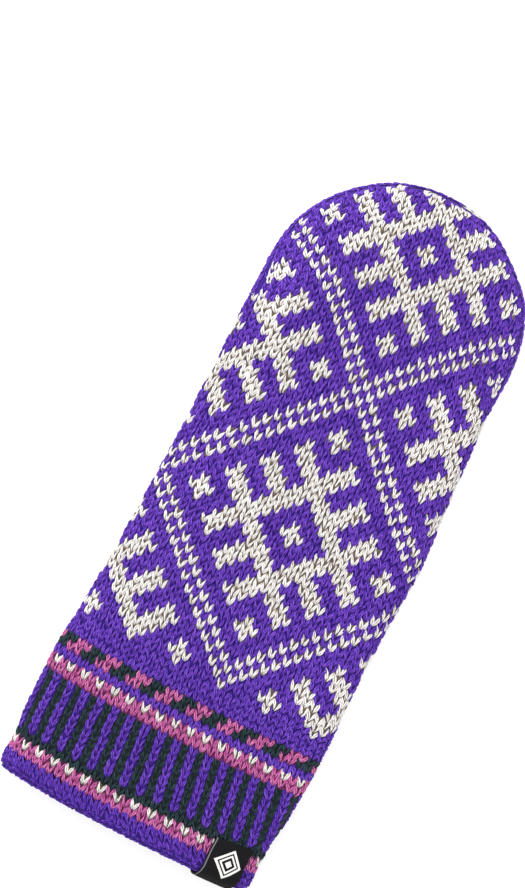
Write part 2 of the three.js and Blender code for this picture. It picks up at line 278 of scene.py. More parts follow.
def on_mitten(turn, y, inset):
    """The body's map. turn 0 is the right edge, a quarter turn the back, a half turn the left edge. A
    section is a flat superellipse over the edge's height and a flatter one under it."""
    centre, half, closing = outline_at(y, inset)
    across = np.cos(turn)
    x = centre + half * across
    edge = left_edge_at(y) + (right_edge_at(y) - left_edge_at(y)) * (1 + across) / 2
    full = section_fullness(across) * closing
    back = edge + (back_at(y) - inset - edge) * full
    flatter = np.minimum(1, UNDERSIDE_FLATTENING * full)
    palm = edge - (edge - inset - recess_height(x, y, inset)) * flatter
    longer = TIP_RISE * smoothstep(y, *TIP_RISE_FROM)
    return framed(x, askew(x, y) + longer, np.where(np.sin(turn) >= 0, back, palm))


def thumb_outline_at(y, inset):
    """The same three of the thumb, whose half width falls at its end as a power of 1 - t^THUMB_ROUNDNESS."""
    t = np.clip((y - (THUMB_END - inset) + THUMB_POINT) / THUMB_POINT, 0, 1)
    half = (THUMB_HALF_WIDTH - inset) * (1 - t**THUMB_ROUNDNESS) ** THUMB_TAPER
    return always(THUMB_X)(y), half, np.sqrt(1 - t**TIP_FLATNESS)


def on_thumb(turn, y, inset):
    """The thumb's map, the same angles about its own middle line. Its end is a blunt point."""
    centre, half, closing = thumb_outline_at(y, inset)
    across = np.cos(turn)
    full = section_fullness(across) * closing
    middle = THUMB_HEIGHT / 2
    up = full * (middle - inset)
    down = np.minimum(1, UNDERSIDE_FLATTENING * full) * (middle - inset)
    x = centre + half * across
    return framed(x, askew(x, y), np.where(np.sin(turn) >= 0, middle + up, middle - down))


class Tube:
    """A flat knitted tube with one closed end. For a ladder of stations it keeps the distance round the
    section at each turn and the turn at each share of the distance, so stitches go by how far round
    they are. The upper and the lower face each have a middle column and a width of column of their own.
    Past the shoulder the width stays, and a column ends where it meets the side fold."""

    RUNGS = 260
    STEPS = 720
    TOP_RUNG = 0.05  # mm short of the tip
    PROUD_POWER = 8

    def __init__(self, place, outline, low, shoulder, tip, middle_x, pitch, columns, proud, fan):
        self.place, self.outline, self.shoulder, self.tip = place, outline, shoulder, tip
        self.proud, self.fan = proud, fan
        self.y = low + (tip - self.TOP_RUNG - low) * np.sin(np.linspace(0, np.pi / 2, self.RUNGS))
        turns = np.linspace(0, 2 * np.pi, self.STEPS + 1)
        ring = place(turns, self.y[:, None], 0)
        steps = np.hypot(np.diff(ring[..., 0], axis=1), np.diff(ring[..., 2], axis=1))
        self.arc = running_sum(steps)
        self.round = self.arc[:, -1]
        self.half = self.arc[:, self.STEPS // 2]
        shares = np.linspace(0, 1, self.STEPS + 1)
        self.turn = np.array([np.interp(shares * row[-1], row, turns) for row in self.arc])
        upper, lower = slice(0, self.STEPS // 2 + 1), slice(self.STEPS // 2, None)
        upper_x = middle_x(self.y)
        self.upper = self.found(ring[:, upper, 0], self.arc[:, upper], upper_x, -1)
        opposite = self.found(self.arc, ring[..., 0], self.upper + self.round / 2, 1)
        self.lower_x = np.where(self.y > shoulder, np.interp(shoulder, self.y, opposite), opposite)
        self.upper_x = upper_x
        self.lower = self.found(ring[:, lower, 0], self.arc[:, lower], self.lower_x, 1)
        held = np.interp(np.minimum(self.y, shoulder), self.y, self.round)
        self.upper_pitch = pitch(self.y)
        self.lower_pitch = (held - self.upper_pitch * columns / 2) / (columns / 2)

    @staticmethod
    def found(keys, values, wanted, sign):
        """On each rung, the value where the key is the wanted one. sign is -1 where the keys fall."""
        return np.array([np.interp(sign * w, sign * k, v) for k, v, w in zip(keys, values, wanted)])

    def rung(self, grid, y, share):
        """Reads a grid of rungs by shares of the way round."""
        rung = np.interp(y, self.y, np.arange(self.RUNGS))
        return read_grid(grid, rung, np.clip(share, 0, 1) * self.STEPS)

    def at(self, values, y):
        """What is kept for each rung at a station, by straight lines between the rungs."""
        return np.interp(y, self.y, values)

    def across(self, under, column, y):
        """Where a column is from side to side, on the flat of either face."""
        lower = self.at(self.lower_x, y) - column * self.at(self.lower_pitch, y)
        upper = self.at(self.upper_x, y) + column * self.at(self.upper_pitch, y)
        return np.where(under, lower, upper)

    def distance(self, under, column, y):
        """How far round a column is at a station, from the right-hand fold over the back."""
        middle = np.where(under, self.at(self.lower, y), self.at(self.upper, y))
        pitch = np.where(under, self.at(self.lower_pitch, y), self.at(self.upper_pitch, y))
        return middle - column * pitch + self.fan(under, self.across(under, column, y), y)

    def stretch(self, column, y):
        """How wide the fan makes a column of the back, as a share of its plain width."""
        return (self.distance(False, column - 0.5, y) - self.distance(False, column + 0.5, y)) / COLUMN

    def point(self, turn, y, inset):
        """A point of the map. It stands proud at the right fold by a power of the cosine of its turn."""
        return self.place(turn, y, inset - self.proud(y) * np.maximum(np.cos(turn), 0) ** self.PROUD_POWER)

    def short_of_tip(self, y, inset):
        """The station, kept just short of where all turns meet at that depth."""
        return np.minimum(y, self.tip - np.maximum(inset, 0) - TIP_KEPT)

    def put(self, distance, y, inset):
        """The point at a distance round, a station and a depth."""
        turn = self.rung(self.turn, y, (distance / self.at(self.round, y)) % 1)
        return self.point(turn, self.short_of_tip(y, inset), inset)

    def fold_clearance(self, under, column, y):
        """The distance round from a stitch to the nearer side fold, negative past it."""
        distance = self.distance(under, column, y)
        half, whole = self.at(self.half, y), self.at(self.round, y)
        low = np.where(under, half, 0)
        high = np.where(under, whole, half)
        return np.minimum(distance - low, high - distance)

    def beside_fold(self, share, y, reach):
        """Whether a place past the shoulder is within reach of a side fold."""
        whole = self.at(self.round, y)
        distance, half = share % 1 * whole, self.at(self.half, y)
        nearest = np.minimum(np.abs(distance - half), np.minimum(distance, whole - distance))
        return (y > self.shoulder) & ((nearest < reach) | (y > self.tip - reach / 2))


(station_of_row,) = curves(ROWS)
middle_column, column_width = curves(COLUMN_PATH)
(proud_at,) = curves(PROUD)
fan_from, fan_most = curves(FAN)
(fan_right_at,) = curves(FAN_RIGHT)
(hang_right_at,) = curves(HANG_RIGHT)
(hang_left_shoulder_at,) = curves(HANG_LEFT_SHOULDER)


def share_between(x, ends, widest=1.0):
    """The share of the way from the first end to the second."""
    return np.clip((x - ends[0]) / (ends[1] - ends[0]), 0, widest)


def fan(under, x, y):
    """How far the columns spread to the left there: a power of the distance. The back's spread to the
    left, and those of both faces by the right-hand fold are carried round it to the right."""
    share = np.clip((fan_from(y) - x) / (fan_from(y) - FAN_X), 0, FAN_WIDEST)
    carried = fan_right_at(y) * share_between(x, FAN_RIGHT_X) ** HANG_POWER
    return np.where(under, 0, fan_most(y) * share**FAN_POWER) - carried


def no_fan(under, x, y):
    """The thumb's columns run straight."""
    return 0 * x


FOLD_FROM = SHOULDER - 14  # from here on the columns by the side folds run along them
body = Tube(
    on_mitten, outline_at, 0, FOLD_FROM, LENGTH, middle_column, column_width, COLUMNS, proud_at, fan
)
THUMB_COLUMNS = 28
thumb = Tube(
    on_thumb,
    thumb_outline_at,
    THUMB_LOW,
    THUMB_END - THUMB_POINT,
    THUMB_END,
    always(THUMB_X),
    always(COLUMN),
    THUMB_COLUMNS,
    always(0),
    no_fan,
)


def droop(x, y):
    """How far a row hangs at x below its place at LEVEL_AT: the distance and its square, each times a
    number. It begins above the cuff. By the right-hand fold and on the left shoulder there is more, by
    a power of the distance. Over the thumb the rows rise in a bell curve of the station."""
    distance = x - LEVEL_AT
    hang = (HANG * distance + HANG_BEND * distance**2) * np.where(distance < 0, HANG_LEFT, 1)
    bell = np.exp(-(((y - THUMB_RISE_AT) / THUMB_RISE_REACH) ** 2))
    right = hang_right_at(y) * share_between(x, HANG_RIGHT_X, HANG_WIDEST) ** HANG_POWER
    left = hang_left_shoulder_at(y) * share_between(x, HANG_LEFT_SHOULDER_X, HANG_WIDEST) ** HANG_POWER
    hang = (hang + right) * smoothstep(y, *HANG_FROM) + left
    return hang - THUMB_RISE * smoothstep(-x, *THUMB_RISE_X) * bell


ROW_READINGS = 400


def row_at(x, y):
    """The row of a place on the body."""
    rows = np.linspace(ROWS["row"][0], ROWS["row"][-1], ROW_READINGS)
    return np.interp(y + droop(x, y), station_of_row(rows), rows)


def body_station(under, column, row):
    """The station of a stitch: its row's, less what the row hangs there."""
    y = station_of_row(row)
    return y - droop(body.across(under, column, y), y)


def rib_lean(under, column, y):
    """The cuff's ribs lean evenly from its top down, most on the right: the amount is a smooth step of
    the column, up on the back and down again on the palm."""
    turned = column + np.where(under, COLUMNS / 2, 0)
    share = smoothstep(turned, *LEAN_BACK) * (1 - smoothstep(turned, *LEAN_PALM))
    return RIB_LEAN * share * np.maximum((CUFF_HIGH - y) / (CUFF_HIGH - CUFF_LOW), 0)


def on_body(under, stop_low=-np.inf, stop_high=np.inf):
    """A map from column, row and depth to points on the upper or lower face, between two stations."""

    def put(column, row, inset):
        y = np.clip(body_station(under, column, row), stop_low, stop_high)
        return body.put(body.distance(under, column, y) - rib_lean(under, column, y), y, inset)

    return put


def on_thumb_face(under):
    """The same for the thumb, whose row 0 is at its base."""

    def put(column, row, inset):
        y = THUMB_LOW + np.maximum(row * ROW, -GAP)
        return thumb.put(thumb.distance(under, column, y), y, inset)

    return put


def roll_station(turn, inset):
    """The station and the depth at a turn round the roll: an ellipse, longer below than above."""
    reach = np.where(np.sin(turn) > 0, ROLL_REACH, ROLL_HALF_LENGTH)
    depth = ROLL_INSET - (ROLL_THICKNESS / 2 - inset) * np.cos(turn)
    return HEM_MIDDLE - (reach - inset) * np.sin(turn), depth


def on_roll(column, row, inset):
    """The rolled hem's map. Row 0 is its outermost line and rows count upwards. Above that line the
    knitting runs straight, sinking by a smooth step to meet the cuff, and below it goes round the roll."""
    turn = -np.minimum(row, 0) * ROW / ((ROLL_REACH + ROLL_THICKNESS / 2) / 2)
    low_y, low_depth = roll_station(turn, inset)
    high_y = HEM_MIDDLE + row * ROW
    high_depth = inset - ROLL_BULGE * (1 - smoothstep(high_y, HEM_MIDDLE, CUFF_LOW + ROLL_FADE))
    y, depth = np.where(row > 0, high_y, low_y), np.where(row > 0, high_depth, low_depth)
    under = np.abs(column) > COLUMNS / 4
    local = np.where(under, column - np.sign(column) * COLUMNS / 2, column)
    return body.put(body.distance(under, local, y) - rib_lean(under, local, y), y, depth)


FOLD_POINTS = 200  # places along a side fold, for its length


def fold_line(tube, side):
    """A side fold of a closed end in plan, from its tip to its shoulder: x, y and the way gone."""
    y = tube.shoulder + (tube.tip - tube.shoulder) * np.sin(np.linspace(np.pi / 2, 0, FOLD_POINTS))
    centre, half, _ = tube.outline(y, 0)
    x = centre + side * half
    return x, y, running_sum(np.hypot(np.diff(x), np.diff(y)))


def inwards(side, under):
    """The sign of the columns from a side fold to the middle of a face."""
    return (1 if under else -1) * side


FOLD_REACH = 12.0  # mm in from the fold that its stitches can lie
FOLD_KEPT = 0.02  # and the nearest that they come to it
FOLD_GRID = (50, 60)  # places along the fold and in from it
FOLD_GRID_POWER = 3
LEAST_HALF_WIDTH = 0.01


def on_fold(tube, side, under):
    """A map for the stitches along the side folds of a closed end. Rows count towards the tip, and the
    column is the distance from the fold. A point is found in plan, square in from the fold, and then
    lifted onto the face. A grid holds how far in it is in plan at each distance along the face."""
    x, y, travel = fold_line(tube, side)
    slope_x, slope_y = np.gradient(x, travel), np.gradient(y, travel)

    def at(q, offset, inset):
        sx, sy = np.interp(q, travel, slope_x), np.interp(q, travel, slope_y)
        px = np.interp(q, travel, x) + side * sy * offset
        py = np.interp(q, travel, y) - side * sx * offset
        centre, half, _ = tube.outline(py, 0)
        turn = np.arccos(np.clip((px - centre) / np.maximum(half, LEAST_HALF_WIDTH), -1, 1))
        return tube.point(-turn if under else turn, tube.short_of_tip(py, inset), inset)

    rungs, cells = FOLD_GRID
    offsets = FOLD_REACH * np.linspace(0, 1, cells) ** FOLD_GRID_POWER
    points = at(np.linspace(0, travel[-1], rungs)[:, None], offsets[None, :], 0)
    arcs = running_sum(np.linalg.norm(np.diff(points, axis=1), axis=-1))
    even = np.linspace(0, FOLD_REACH, cells)
    in_plan = np.array([np.interp(even, arc, offsets) for arc in arcs])

    def put(column, row, inset):
        q = np.clip(-row * ROW, 0, travel[-1])
        gone = np.maximum(column * COLUMN * inwards(side, under), FOLD_KEPT)
        offset = read_grid(in_plan, q / travel[-1] * (rungs - 1), gone / FOLD_REACH * (cells - 1))
        return at(q, offset, inset)

    return put


# The chart, by diagonals: u = column + row and v = column - row
REPEAT = 36  # from one figure's middle to the next
RING = 6  # a figure's ring lies this far from its middle
ARM = 12  # its arms end, and its corners lie, this far
LINE = 17  # and the thin lines between the figures run this far
SMALL_STAR = ((0, 0), (1, 1), (-1, -1), (1, -1), (-1, 1))  # the stitches of a star from its middle
LOWEST_WHITE_ROW = -19
RIB_ROWS = range(-35, -27)
BANDS = {  # the yarns of each four stitches in the rows below the figures
    -23: (PINK, GREEN, GREEN, PINK),
    -24: (GREEN, GREEN, PINK, PINK),
    -26: (PINK, WHITE, PINK, WHITE),
    -27: (PINK, PINK, PINK, PINK),
    **{row: (PURPLE, GREEN, PURPLE, GREEN) for row in RIB_ROWS},
    -36: (GREEN, GREEN, GREEN, GREEN),
    -37: (WHITE, PINK, WHITE, PINK),
    -38: (PINK, PINK, PINK, PINK),
}


def chart(column, row):
    """The yarn of each stitch. With u and v taken to the nearest figure's middle, a figure is made of
    five-stitch stars: one in its middle, a ring of them, three arms on each side of the ring, and one
    between each pair of figures' corners. Two thin lines of single stitches run between the figures on
    the diagonals. The pattern begins with the lowest points of the stars above its first row."""
    column, row = np.broadcast_arrays(np.asarray(column, int), np.asarray(row, int))
    u, v = ((way + REPEAT // 2) % REPEAT - REPEAT // 2 for way in (column + row, column - row))

    def arm(a, b):
        return ((a == 0) | (a == RING)) & (b >= RING) & (b <= ARM)

    def star_middle(u, v):
        a, b = np.abs(u), np.abs(v)
        ring = np.maximum(a, b) == RING
        corner = (a == ARM) & (b == ARM)
        return ((a + b == 0) | ring | arm(a, b) | arm(b, a) | corner) & (a % 2 == 0) & (b % 2 == 0)

    on_u, on_v = np.abs(u) == LINE, np.abs(v) == LINE
    figure = np.any([star_middle(u + i, v + j) for i, j in SMALL_STAR], axis=0)
    lowest = star_middle(u + 1, v - 1) | (on_u & on_v)
    white = ((figure | on_u | on_v) & (row > LOWEST_WHITE_ROW)) | (lowest & (row == LOWEST_WHITE_ROW))
    yarn = np.where(white, WHITE, PURPLE)
    for band, yarns in BANDS.items():
        yarn = np.where(row == band, np.array(yarns)[column % len(yarns)], yarn)
    return yarn


def all_purple(column, row):
    """The chart of the thumb and the hem."""
    return np.full(np.shape(column), PURPLE)


# A strand is two plies, and a ply is a spindle: a pole, rings of points and a pole
SIDES = 4
RINGS = np.array([0.1, 0.34, 0.66, 0.9])
BLUNTNESS = 0.75  # the power of the half wave that a ply's thickness follows
PLIES = 2
PLY_WIDTH = 0.5  # a ply's width, and how far its middle lies from the yarn's, as shares of the yarn's width
PLY_APART = 0.29
PLY_LIFT = 0.18  # and how far it rises and sinks as the plies wind, as a share of the yarn's height
PLY_WIND = 0.55  # turns of the plies round each other along one strand


def strand_form():
    """A ply's points as (share along, turn), and its triangles with (turn, share) at each corner."""
    along = np.concatenate([[0], np.repeat(RINGS, SIDES), [1]])
    turn = np.concatenate([[0], np.tile(np.arange(SIDES) / SIDES, len(RINGS)), [0]])
    last = len(along) - 1
    first_ring, last_ring = 1, last - SIDES
    triangles, corners = [], []
    for j in range(SIDES):
        k = (j + 1) % SIDES
        near, far, middle = j / SIDES, (j + 1) / SIDES, (j + 0.5) / SIDES
        triangles.append((0, first_ring + j, first_ring + k))
        corners.append(((middle, 0), (near, RINGS[0]), (far, RINGS[0])))
        for ring in range(len(RINGS) - 1):
            a = first_ring + ring * SIDES
            b = a + SIDES
            low, high = RINGS[ring], RINGS[ring + 1]
            triangles += [(a + j, b + k, a + k), (a + j, b + j, b + k)]
            corners += [((near, low), (far, high), (far, low)), ((near, low), (near, high), (far, high))]
        triangles.append((last, last_ring + k, last_ring + j))
        corners.append(((middle, 1), (far, RINGS[-1]), (near, RINGS[-1])))
    return along, turn * 2 * np.pi, np.array(triangles), np.array(corners)


ALONG, TURN, STRAND_FACES, STRAND_CORNERS = strand_form()
FROM_MIDDLE = 2 * ALONG - 1
FULL = np.sin(np.pi * ALONG) ** BLUNTNESS
FULL[[0, -1]] = 0

DIVE = 0.9  # mm that a strand's lower end dives; its upper end dives by this share of that
UPPER_DIVE = 0.65
DIVE_POWER = 2.2


def lay(put, column, row, depth, middle=0, sway=0, lean=0, rise=0, arch=0, width=1, height=1, start=0):
    """Strands through put. Along its length a strand goes lean to the right and rise upwards, sways by a
    half wave of a sine, arches by a parabola, and at both ends dives inwards by a power of the distance
    from its middle. Its two plies wind round its middle line as a screw that thins to nothing at both
    ends, and each has an ellipse for its section. start is the screw's turn at the strand's middle."""
    values = (column, row, depth, middle, sway, lean, rise, arch, width, height, start)
    values = (np.asarray(value, float).reshape(-1, 1, 1) for value in values)
    column, row, depth, middle, sway, lean, rise, arch, width, height, start = values
    across_run = lean + 2 * sway
    length = np.hypot(across_run, rise)
    ply = np.arange(PLIES).reshape(1, -1, 1) / PLIES
    coil = 2 * np.pi * (start + PLY_WIND * FROM_MIDDLE / 2 + ply)
    spread = FULL * width * (PLY_APART * np.cos(coil) + PLY_WIDTH / 2 * np.cos(TURN))
    lift = FULL * height * (PLY_LIFT * np.sin(coil) + PLY_WIDTH / 2 * np.sin(TURN))
    x = middle + lean * FROM_MIDDLE / 2 + sway * np.sin(np.pi * FROM_MIDDLE / 2) + spread * rise / length
    y = rise * FROM_MIDDLE / 2 + arch * (1 - FROM_MIDDLE**2) - spread * across_run / length
    dive = DIVE * np.abs(FROM_MIDDLE) ** DIVE_POWER * np.where(FROM_MIDDLE > 0, UPPER_DIVE, 1)
    points = put(column + x / COLUMN, row + y / ROW, depth + dive - lift)
    return points.reshape(-1, len(ALONG), 3)


# How unevenly the stitches lie: standard deviations in mm, rows, turns or shares
UNEVEN = {
    "stitch_across": 0.12,
    "stitch_up": 0.06,
    "stitch_width": 0.05,
    "leg_sway": 0.25,
    "leg_up": 0.05,
    "leg_depth": 0.06,
    "leg_start": 0.1,
    "purl_across": 0.08,
    "purl_up": 0.08,
    "purl_rise": 0.9,
    "purl_width": 0.1,
    "purl_start": 0.15,
}
SEEDS = {  # where the random draws of each part start, first for its stitches and then for its yarns
    "back": 5,
    "palm": 7,
    "back_yarns": 9,
    "palm_yarns": 11,
    "cuff_yarns": 13,
    "fold": 17,
    "thumb": 19,
    "hem": 23,
}
LEGS = ((-1, 0.82, 0.56, 1.0), (1, 0.80, 0.46, 0.9))  # each leg's side, middle, sway and share of the width
STITCH_TALL = 1.6  # rows that a stitch's legs reach over


def uneven(random, way, count):
    """How far each of some stitches departs in one way."""
    return random.normal(0, UNEVEN[way], count)


def stitches(put, column, row, random, broad=1.0, sunk=0.0, tall=STITCH_TALL, apart=1.0, skew=0.0):
    """V stitches: a left leg that is broader and slants more, and a right leg that is narrower. apart
    brings the legs closer together, and skew carries their upper ends to the right."""
    count = len(column)
    wander = uneven(random, "stitch_across", count)
    climb = uneven(random, "stitch_up", count)
    swell = broad * (1 + uneven(random, "stitch_width", count))
    legs = []
    for side, middle, sway, width in LEGS:
        loose = 1 + uneven(random, "leg_sway", count)
        legs.append(
            lay(
                put,
                column,
                row + climb + uneven(random, "leg_up", count),
                YARN_HEIGHT / 2 + sunk + uneven(random, "leg_depth", count),
                middle=apart * (side * middle + wander),
                sway=apart * side * sway * loose,
                lean=skew,
                rise=tall * ROW,
                width=YARN_WIDTH * width * swell,
                height=YARN_HEIGHT * swell,
                start=uneven(random, "leg_start", count),
            )
        )
    return np.concatenate(legs)


PURL_REACH = 0.85  # columns that a purl bump goes across, and mm of its arch, width, height and rise
PURL_ARCH = 0.5
PURL_WIDTH = 1.5
PURL_HEIGHT = 1.1 * YARN_HEIGHT
PURL_PROUD = 0.05


def purl_bumps(put, column, row, side, random, sunk=0.0):
    """The heads and feet of purl stitches: short strands across the columns that arch by a parabola, up
    where side is 1 and down where it is -1."""
    count = len(column)
    return lay(
        put,
        column + uneven(random, "purl_across", count),
        row + uneven(random, "purl_up", count),
        YARN_HEIGHT / 2 - PURL_PROUD + sunk,
        lean=PURL_REACH * COLUMN,
        rise=uneven(random, "purl_rise", count),
        arch=side * PURL_ARCH,
        width=PURL_WIDTH * (1 + uneven(random, "purl_width", count)),
        height=PURL_HEIGHT,
        start=uneven(random, "purl_start", count),
    )


def mesh_piece(name, points, triangles, material=None, maps=None, values=None, flat=False):
    """A mesh object from arrays. maps are UV maps given at each corner, values are numbers at each
    point, and colours come as four numbers at each corner."""
    mesh = bpy.data.meshes.new(name)
    points, triangles = np.asarray(points).reshape(-1, 3), np.asarray(triangles).reshape(-1, 3)
    mesh.vertices.add(len(points))
    mesh.vertices.foreach_set("co", (points * MM).astype(np.float32).ravel())
    mesh.loops.add(triangles.size)
    mesh.loops.foreach_set("vertex_index", triangles.astype(np.int32).ravel())
    mesh.polygons.add(len(triangles))
    mesh.polygons.foreach_set("loop_start", np.arange(0, triangles.size, 3, dtype=np.int32))
    mesh.update(calc_edges=True)
    for title, corners in (maps or {}).items():
        layer = mesh.uv_layers.new(name=title)
        layer.data.foreach_set("uv", np.asarray(corners, np.float32).ravel())
    for title, numbers in (values or {}).items():
        kind, domain, field = ("FLOAT", "POINT", "value")
        if np.ndim(numbers) == 2:
            kind, domain, field = ("FLOAT_COLOR", "CORNER", "color")
        layer = mesh.attributes.new(title, kind, domain)
        layer.data.foreach_set(field, np.asarray(numbers, np.float32).ravel())
    mesh.polygons.foreach_set("use_smooth", np.full(len(triangles), not flat))
    mesh.update()
    if material:
        mesh.materials.append(material)
    thing = bpy.data.objects.new(name, mesh)
    bpy.context.collection.objects.link(thing)
    return thing


def wear(thing, slot, *nodes):
    """What every piece says: it rides on the one body and, where it stands for a CAD node, replaces it.
    The slot is not used."""
    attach(thing, "root")
    if nodes:
        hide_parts(*nodes)


CELL_MARGIN = 0.06  # of each strand's cell in the map OFBake
PLY_START = 9.0  # a strand's streaks begin anywhere up to this many mm along them
EVEN_TONE = 0.5
CUFF_SHADE_TONE = 0.4  # painted shade: the cuff's yarn is drawn a little darker than the hand's, and the hem's darker still
HEM_SHADE_TONE = 0.2
TONE_SPREAD = 0.2
# the painted shade at a strand's diving ends grows by this power of the distance from its middle
DIVE_SHADE_POWER = 2.6


def strand_piece(name, slot, strands, yarn, random, tone=EVEN_TONE):
    """One piece from many strands of a yarn. The map OFBake gives each strand a cell of its own, and the
    map Ply runs in millimetres along the strand and once round it. shade is one number for each strand,
    about the piece's own tone, and a second number rises to 1 at a strand's ends by a power of the
    distance: painted shade where the ends dive under their neighbours."""
    strands = np.concatenate(strands)
    count, size = strands.shape[:2]
    triangles = STRAND_FACES[None] + (np.arange(count) * size)[:, None, None]
    side = int(np.ceil(np.sqrt(count)))
    corner = np.broadcast_to(STRAND_CORNERS, (count,) + STRAND_CORNERS.shape)
    cell = np.stack([np.arange(count) % side, np.arange(count) // side], axis=-1)[:, None, None, :]
    bake = (cell + CELL_MARGIN + (1 - 2 * CELL_MARGIN) * corner) / side
    length = np.linalg.norm(strands[:, -1] - strands[:, 0], axis=1)[:, None, None]
    offset = random.uniform(0, PLY_START, count)[:, None, None]
    ply = np.stack([corner[..., 1] * length + offset, corner[..., 0] + 0 * length], axis=-1)
    shade = np.repeat(np.clip(random.normal(tone, TONE_SPREAD, count), 0, 1), size)
    # painted shade that grows towards a strand's diving ends
    dive_shade = np.tile(np.abs(FROM_MIDDLE) ** DIVE_SHADE_POWER, count)
    maps, values = {"OFBake": bake, "Ply": ply}, {"shade": shade, "dive_shade": dive_shade}
    wear(mesh_piece(name, strands, triangles, YARN_MATERIALS[yarn], maps, values), slot)


def linear(colour):
    """An sRGB hex colour as linear red, green, blue and alpha."""
    value = np.array([int(colour[i : i + 2], 16) for i in (1, 3, 5)]) / 255
    value = np.where(value <= 0.04045, value / 12.92, ((value + 0.055) / 1.055) ** 2.4)
    return (*value.tolist(), 1.0)


def feed(tree, node, sockets):
    """Gives a node's sockets, by name or in their order, a value or the node or output that feeds them."""
    for socket, value in sockets.items() if isinstance(sockets, dict) else enumerate(sockets):
        if isinstance(value, bpy.types.Node):
            value = value.outputs[0]
        if isinstance(value, bpy.types.NodeSocket):
            tree.links.new(value, node.inputs[socket])
        else:
            node.inputs[socket].default_value = value


def add(tree, kind, sockets=(), **settings):
    """One node, with what its sockets get and its own settings."""
    node = tree.nodes.new("ShaderNode" + kind)
    for title, value in settings.items():
        setattr(node, title, value)
    feed(tree, node, sockets)
    return node


def new_material(name, sockets):
    """A material with its shader's own constant values, and the tree and shader to add nodes to."""
    material = bpy.data.materials.new(name)
    material.use_nodes = True
    bsdf = material.node_tree.nodes["Principled BSDF"]
    feed(material.node_tree, bsdf, sockets)
    return material, material.node_tree, bsdf


FIBRE = 0.3  # mm, drawn wider than a real wool fibre so that it shows
STREAK_SCALE = (0.5, 3.4, 1.0)  # the streaks are long along a ply and narrow round it
STREAK_SLANT = 0.35
STREAK_TONES = (0.35, 0.65, -0.05, 0.55)  # a range of the noise, and the range of tones that it becomes
PLY_LIGHT_AND_SHADE_TONES = (0.1, 0.95, -0.28, 0.22)  # the same for the sine of the turn round a ply: a painted highlight on its outer side, painted shade round its underside
SHADE_TONE = 0.4  # what a strand's own shade adds to the tone, and the painted shade that its diving ends take from it
DIVE_SHADE_TONE = -0.35
TONE_STOPS = (0.0, 0.42, 0.85)  # the tones that are dark, middle and light
FUZZ_RELIEF = 0.5  # what the fuzz adds to the relief of the streaks


def wool_yarn(name, dark, middle, light):
    """Two-ply worsted wool: matt with a soft sheen, fine streaks of fibre that slant along each ply, painted
    shade where a strand dives between its neighbours, a painted highlight on each ply's outer side and
    painted shade round its underside, and a little difference between plies."""
    shader = {"Roughness": 0.85, "Specular IOR Level": 0.3, "Sheen Weight": 0.2, "Sheen Roughness": 0.5}
    material, tree, bsdf = new_material(name, {**shader, "Sheen Tint": linear(light)})
    ply = add(tree, "UVMap", uv_map="Ply")
    slanted = add(tree, "Mapping", {"Vector": ply, "Scale": STREAK_SCALE, "Rotation": (0, 0, STREAK_SLANT)})
    fibres = add(tree, "TexNoise", {"Vector": slanted, "Scale": 1.5, "Detail": 2.0, "Roughness": 0.6})
    place = add(tree, "TexCoord").outputs["Object"]
    fuzz = add(tree, "TexNoise", {"Vector": place, "Scale": 1 / (FIBRE * MM), "Detail": 2.0})
    shade = add(tree, "Attribute", attribute_name="shade").outputs["Fac"]
    dive_shade = add(tree, "Attribute", attribute_name="dive_shade").outputs["Fac"]
    streaks = add(tree, "MapRange", (fibres, *STREAK_TONES))
    # each ply is painted lighter on its outer side and darker round its underside: painted highlight and
    # painted shade
    round_ply = add(tree, "SeparateXYZ", (ply,)).outputs[1]
    round_ply = add(tree, "Math", (round_ply, 2 * np.pi), operation="MULTIPLY")
    ply_light_and_shade = add(tree, "Math", (round_ply,), operation="SINE")
    ply_light_and_shade = add(tree, "MapRange", (ply_light_and_shade, *PLY_LIGHT_AND_SHADE_TONES))
    tone = add(tree, "Math", (streaks, ply_light_and_shade), operation="ADD")
    tone = add(tree, "Math", (shade, SHADE_TONE, tone), operation="MULTIPLY_ADD")
    # painted shade where a strand's ends dive under their neighbours
    tone = add(tree, "Math", (dive_shade, DIVE_SHADE_TONE, tone), operation="MULTIPLY_ADD")
    ramp = add(tree, "ValToRGB", (tone,))
    stops = ramp.color_ramp.elements
    stops.new(TONE_STOPS[1])
    for stop, position, colour in zip(stops, TONE_STOPS, (dark, middle, light)):
        stop.position, stop.color = position, linear(colour)
    relief = add(tree, "Math", (fuzz, FUZZ_RELIEF, fibres), operation="MULTIPLY_ADD")
    bump = add(tree, "Bump", {"Height": relief, "Strength": 0.8, "Distance": FIBRE * MM})
    feed(tree, bsdf, {"Base Color": ramp, "Normal": bump})
    return material


GROUND_FUZZ = 3 * FIBRE
ROW_BUMPS = 0.314  # the wave's scale that gives one bump to a row
ROW_RELIEF = 0.45  # what the bumps add to the relief of the fuzz
GROUND_SHADE_TONES = (0.2, 1.2, 0.55, 1.15)  # a range of bumps and fuzz, and the shares of the colour there: low places are painted shade, and the fuzz's part is tone that differs at random


